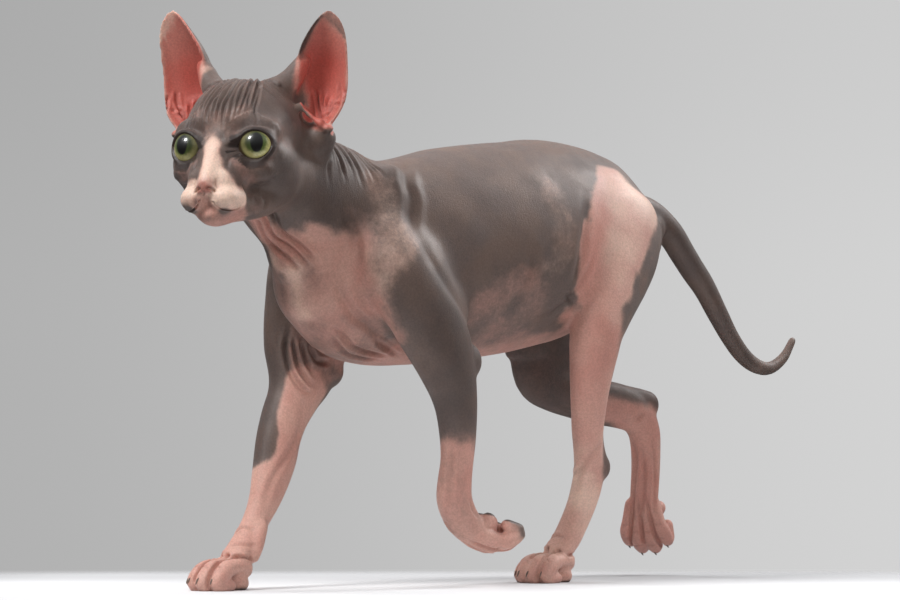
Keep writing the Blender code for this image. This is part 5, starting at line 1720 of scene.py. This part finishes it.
@dataclass(frozen=True)
class EyeLook:
    """The finish of an eye: a green iris that pales outwards, painted shade above and painted light below, a
    dark rim and a wide pupil.

    Attributes:
        middle: The iris round the pupil.
        outer: The iris further out.
        rim: The dark ring round the iris.
        bright: What the fibres of the iris are multiplied by.
        pupil: The pupil.
        pupil_half_width: Half the pupil's width, as a share of the eyeball's radius.
        pupil_half_height: Half its height.
        iris: The radius of the iris.
    """

    middle: Row = (0.075, 0.105, 0.025, 1)
    outer: Row = (0.600, 0.560, 0.230, 1)
    rim: Row = (0.045, 0.028, 0.012, 1)
    bright: Row = (1.5, 1.45, 1.3, 1)
    pupil: Row = (0.0008, 0.0008, 0.0008, 1)
    pupil_half_width: float = 0.30
    pupil_half_height: float = 0.47
    iris: float = 0.80

    def dress(self, piece: bpy.types.Object, name: str) -> None:
        """Give the eyeball this finish."""
        nodes = Finish(piece, name)
        gaze = nodes.add("ShaderNodeAttribute", attribute_name="gaze").outputs["Vector"]
        across, up, _ = nodes.split("XYZ", gaze)
        flat = nodes.add("ShaderNodeCombineXYZ")
        nodes.fill(flat, {"X": across, "Y": up})
        radius = nodes.vector("LENGTH", flat.outputs[0]).outputs["Value"]
        around = nodes.split("XYZ", nodes.vector("NORMALIZE", flat.outputs[0]).outputs[0])
        fibres = nodes.add("ShaderNodeCombineXYZ")
        nodes.fill(fibres, {"X": nodes.times(around[0], 7.0), "Y": nodes.times(around[1], 7.0),
                            "Z": nodes.times(radius, 1.6)})
        streak = nodes.noise(fibres.outputs[0], 2.2, 4.0, 0.7)
        cloud = nodes.times(nodes.math("SUBTRACT", nodes.noise(gaze, 5.0, 3.0, 0.55), 0.5), 0.25)
        out = nodes.spread(nodes.math("ADD", radius, cloud), 0.40, 0.70)
        iris = nodes.blend(out, self.middle, self.outer)
        fibre = nodes.spread(streak, 0.3, 0.72, 0.0, 0.55)
        iris = nodes.blend(fibre, iris, nodes.blend(1.0, iris, self.bright, "MULTIPLY"))
        # Painted light and shade: the iris darkens towards its upper, inner side under the lid and brightens at
        # its lower, outer edge
        outward = nodes.math("MULTIPLY_ADD", across, 0.75, nodes.times(up, -0.66))
        lower = nodes.spread(outward, -0.45, 0.55, 0.24, 1.15)
        iris = nodes.blend(1.0, iris, nodes.grey(lower), "MULTIPLY")
        limbus = nodes.spread(radius, self.iris - 0.10, self.iris + 0.01)
        colour = nodes.blend(limbus, iris, self.rim)
        wide = nodes.math("DIVIDE", across, self.pupil_half_width)
        high = nodes.math("DIVIDE", up, self.pupil_half_height)
        oval = nodes.math("SQRT", nodes.math("ADD", nodes.times(wide, wide), nodes.times(high, high)))
        nodes.fill(nodes.shader, {
            "Base Color": nodes.blend(nodes.spread(oval, 1.08, 0.90), colour, self.pupil),
            "Roughness": 0.35, "Coat Weight": 1.0, "Coat Roughness": 0.02, "Coat IOR": 1.45,
        })
        nodes.roughen(streak, 0.12, 0.0003)


@dataclass(frozen=True)
class ClawLook:
    """The finish of a claw: dark horn, paler towards the tip.

    Attributes:
        root: Its colour at the toe.
        tip: Its colour at the tip.
    """

    root: Row = (0.060, 0.040, 0.032, 1)
    tip: Row = (0.180, 0.130, 0.100, 1)

    def dress(self, piece: bpy.types.Object, name: str) -> None:
        """Give the claws this finish."""
        nodes = Finish(piece, name)
        along = nodes.add("ShaderNodeAttribute", attribute_name="along").outputs["Fac"]
        grain = nodes.noise(nodes.place(), 1400.0, 3.0, 0.6)
        share = nodes.math("ADD", along, nodes.times(nodes.math("SUBTRACT", grain, 0.5), 0.35))
        nodes.fill(nodes.shader, {
            "Base Color": nodes.blend(nodes.spread(share, 0.2, 0.95), self.root, self.tip),
            "Roughness": nodes.spread(grain, 0.3, 0.7, 0.28, 0.42),
        })
        nodes.roughen(grain, 0.3, 0.0002)


@dataclass(frozen=True)
class FloorLook:
    """The finish of the floor: plain, pale and matt, fading out at its edge.

    Attributes:
        front: Its colour on the viewer's side.
        back: Its colour behind the cat.
        away: The scene direction away from the viewer.
        end_reach: Where it has faded out, in metres from its middle.
    """

    front: Row = (0.70, 0.70, 0.71, 1)
    back: Row = (0.44, 0.44, 0.45, 1)
    away: Row = (-0.766, 0.643, 0.0)
    end_reach: float = 0.44

    def dress(self, piece: bpy.types.Object) -> None:
        """Give the floor this finish: it darkens away from the viewer and then fades out."""
        nodes = Finish(piece, "floor")
        place = nodes.place()
        reach = nodes.vector("LENGTH", place).outputs["Value"]
        behind = nodes.vector("DOT_PRODUCT", place, self.away).outputs["Value"]
        nodes.fill(nodes.shader, {
            "Base Color": nodes.blend(nodes.spread(behind, -0.06, 0.08), self.front, self.back),
            "Alpha": nodes.times(nodes.spread(reach, 0.25, self.end_reach, 1.0, 0.0),
                                 nodes.spread(behind, 0.10, 0.20, 1.0, 0.0)),
            "Roughness": 0.9,
        })


@dataclass
class Eye:
    """One eyeball with the bulge of its cornea.

    Attributes:
        side: The side of the head.
        turn: How far its socket faces outwards, in degrees.
        glance: How far both eyes look to the cat's left, in degrees.
        lift: How far they look up, in degrees.
        bulge: How far the cornea stands out of the ball.
        bulge_width: How wide the cornea is, as an angle seen from the middle.
    """

    side: Side
    turn: float = 19.0
    glance: float = 6.0
    lift: float = 7.0
    bulge: float = 0.85
    bulge_width: float = 0.62

    def build(self, space: CatSpace, look: EyeLook) -> bpy.types.Object:
        """Make the eyeball.

        Args:
            space: Where the cat stands.
            look: Its finish.

        Returns:
            The finished eye.
        """
        name = "eyeball_" + self.side.name.lower()
        ball = bmesh.new()
        bmesh.ops.create_uvsphere(ball, u_segments=64, v_segments=48, radius=1)
        keep = ball.verts.layers.float_vector.new("gaze")
        sign = self.side.value
        turn = math.radians(space.head_turn + self.turn * sign + self.glance)
        lift = math.radians(self.lift)
        ahead = np.array((math.cos(turn) * math.cos(lift), math.sin(turn) * math.cos(lift), math.sin(lift)))
        across = np.array((-math.sin(turn), math.cos(turn), 0.0)) * sign
        upward = np.cross(ahead, across * sign)
        middle = np.array(space.head_place((LEFT_EYE_AT[0], LEFT_EYE_AT[1] * sign, LEFT_EYE_AT[2])))
        for vertex in ball.verts:
            place = vertex.co.copy()
            off_axis = math.acos(max(min(place.z, 1.0), -1.0))
            vertex[keep] = place
            reach = EYE_RADIUS + self.bulge * math.exp(-(off_axis / self.bulge_width) ** 4)
            point = middle + (across * place.x + upward * place.y + ahead * place.z) * reach
            vertex.co = space.place(point)
        ball.normal_update()
        bmesh.ops.recalc_face_normals(ball, faces=ball.faces)
        piece = to_object(name, ball)
        piece.data.shade_smooth()
        look.dress(piece, name)
        return piece


@dataclass
class Claws:
    """The claws of one paw, each curving out of its toe.

    Attributes:
        paw: The paw.
        claw_width: How far a claw's own places can lie from its middle line, in millimetres.
    """

    paw: Paw
    claw_width: float = 2.2

    def build(self, space: CatSpace, look: ClawLook) -> bpy.types.Object:
        """Make the claws of the paw."""
        name = "claws_" + self.paw.name
        kit = FormKit(space)
        paths = self.paw.claw_paths()
        for path in paths:
            kit.tube(path, sides=12, steps=5, across=tuple(self.paw.sideward))
        piece = kit.finish(name)
        places = space.measure(read_rows(piece.data))
        along = np.zeros(len(places))
        for path in paths:
            reach, share = reach_along(places, smooth_rows([row[:3] for row in path], 5))
            along = np.where(reach < self.claw_width, np.maximum(along, share), along)
        layer = piece.data.attributes.new("along", "FLOAT", "POINT")
        layer.data.foreach_set("value", along.astype(np.float32))
        piece.data.shade_smooth()
        look.dress(piece, name)
        return piece


@dataclass
class Studio:
    """The floor, the lights, the surroundings and the camera.

    Attributes:
        camera_at: The camera's place along the cat's own directions, in millimetres.
        view: The direction in which it looks, in the scene.
        right: The scene direction that lies to the right in the picture.
        lens: Its focal length in millimetres on a 36 mm frame.
        subject: The place in the scene that the lamps aim at.
    """

    camera_at: Row = (1039.6, 1212.3, 67.2)
    view: Row = (-0.7647, 0.6417, 0.0588)
    right: Row = (0.6428, 0.7660, 0.0)
    lens: float = 112.0
    subject: Row = (0.0, 0.0, 0.17)

    def build(self, space: CatSpace) -> bpy.types.Object:
        """Set up the studio.

        Args:
            space: Where the cat stands.

        Returns:
            The floor.
        """
        self.set_camera(space)
        self.light_room()
        self.hang_lamp("key", left=0.95, front=0.80, up=1.15, size=(0.45, 0.45), power=21.0)
        self.hang_lamp("top", left=0.15, front=-0.45, up=1.30, size=(1.2, 0.9), power=11.0)
        self.hang_lamp("rim", left=1.0, front=-0.95, up=0.75, size=(0.5, 0.9), power=8.0)
        self.hang_lamp("back", left=-1.0, front=-0.5, up=0.9, size=(0.4, 0.6), power=14.0)
        self.hang_lamp("fill", left=-0.3, front=1.2, up=0.5, size=(0.9, 0.6), power=5.0)
        view = bpy.context.scene.view_settings
        view.view_transform = "Standard"
        return self.lay_floor()

    def set_camera(self, space: CatSpace) -> None:
        """Place the camera where the picture is taken from."""
        lens = bpy.data.cameras.new("camera")
        lens.lens = self.lens
        lens.sensor_width = 36.0
        lens.clip_start = 0.05
        lens.clip_end = 50.0
        camera = link("camera", lens)
        camera.location = space.place(self.camera_at)
        view = Vector(self.view).normalized()
        right = Vector(self.right).normalized()
        up = right.cross(view).normalized()
        turn = Matrix((right, up, -view)).transposed()
        camera.rotation_euler = turn.to_euler()
        bpy.context.scene.camera = camera

    def hang_lamp(self, name: str, left: float, front: float, up: float, size: tuple[float, float],
                  power: float) -> None:
        """Hang one soft lamp.

        Args:
            name: The lamp's name.
            left: Metres from the cat towards the left of the picture.
            front: Metres towards the camera.
            up: Metres above the cat's middle.
            size: Its width and height in metres.
            power: Its strength in watts.
        """
        lamp = bpy.data.lights.new(name, "AREA")
        lamp.shape = "RECTANGLE"
        lamp.size, lamp.size_y = size
        lamp.energy = power
        hung = link(name, lamp)
        hung.visible_glossy = name in ("key", "back")
        level = Vector((self.view[0], self.view[1], 0)).normalized()
        hung.location = Vector(self.subject) - Vector(self.right) * left - level * front + Vector((0, 0, up))
        aim = Vector(self.subject) - hung.location
        hung.rotation_euler = aim.to_track_quat("-Z", "Y").to_euler()

    def light_room(self) -> None:
        """Surround the cat with soft light, and with a grey wall that pales towards the floor."""
        world = bpy.data.worlds.new("studio")
        bpy.context.scene.world = world
        world.use_nodes = True
        tree = world.node_tree
        tree.nodes.clear()
        nodes = Nodes(tree)
        heading = nodes.add("ShaderNodeTexCoord").outputs["Generated"]
        rise = nodes.split("XYZ", heading)[2]
        aside = nodes.vector("DOT_PRODUCT", heading, self.right).outputs["Value"]
        wall = nodes.times(nodes.spread(aside, -0.20, 0.20, 0.435, 0.655),
                           nodes.spread(rise, 0.17, 0.05, 0.93, 1.0))
        bright = nodes.spread(aside, -0.20, 0.10, 0.84, 1.0)
        shown = nodes.blend(nodes.spread(rise, -0.0365, -0.0455), nodes.grey(wall), nodes.grey(bright))
        light = nodes.blend(nodes.spread(rise, -0.1, 0.9), (0.22, 0.205, 0.20, 1), (0.95, 0.97, 1.0, 1))
        seen = nodes.add("ShaderNodeLightPath").outputs["Is Camera Ray"]
        surroundings = nodes.add("ShaderNodeBackground")
        nodes.fill(surroundings, {"Color": nodes.blend(seen, light, shown),
                                  "Strength": nodes.spread(seen, 0.0, 1.0, 0.42, 1.0)})
        nodes.fill(nodes.add("ShaderNodeOutputWorld"), {"Surface": surroundings.outputs[0]})

    def lay_floor(self) -> bpy.types.Object:
        """Lay the plain floor."""
        disc = bmesh.new()
        bmesh.ops.create_circle(disc, cap_ends=True, segments=96, radius=0.46)
        bmesh.ops.recalc_face_normals(disc, faces=disc.faces)
        floor = to_object("floor", disc)
        FloorLook().dress(floor)
        return floor


FLESH = (
    "head", "neck", "chest", "belly", "tail_root", "tail_middle", "tail_tip", "ear_left", "ear_right",
    "foreleg_left_upper", "foreleg_left_lower", "forepaw_left", "foreleg_right_upper", "foreleg_right_lower",
    "forepaw_right", "hindleg_left_upper", "hindleg_left_lower", "hindpaw_left", "hindleg_right_upper",
    "hindleg_right_lower", "hindpaw_right",
)


def find_space() -> CatSpace:
    """Find where the frame stands the cat, from the middle of its left eye."""
    low, high = (np.array(corner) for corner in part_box("eye_left"))
    raw = CatSpace((0.0, 0.0, 0.0))
    expected = np.array(raw.place(raw.head_place(LEFT_EYE_AT)))
    shift = (low + high) / 2 - expected
    return CatSpace((float(shift[0]), float(shift[1]), 0.0))


def main() -> None:
    """Build and dress the cat, set up the studio and log the pieces' triangle counts."""
    logging.basicConfig(level=logging.INFO, format="%(name)s: %(message)s")
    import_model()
    space = find_space()
    LOG.info("cat shifted by %s", tuple(round(value, 5) for value in space.shift))
    cat = Cat()
    skin = Skin(cat, space).build()
    SkinLook().dress(skin)
    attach(skin, "root")
    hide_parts(*FLESH)
    LOG.info("skin: %d triangles", len(skin.data.polygons))
    for side in Side:
        eye = Eye(side).build(space, EyeLook())
        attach(eye, "root")
        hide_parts("eye_" + side.name.lower())
        LOG.info("%s: %d triangles", eye.name, len(eye.data.polygons))
    for paw in cat.paws:
        claws = Claws(paw).build(space, ClawLook())
        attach(claws, "root")
        LOG.info("%s: %d triangles", claws.name, len(claws.data.polygons))
    Studio().build(space)


if __name__ == "__main__":
    main()
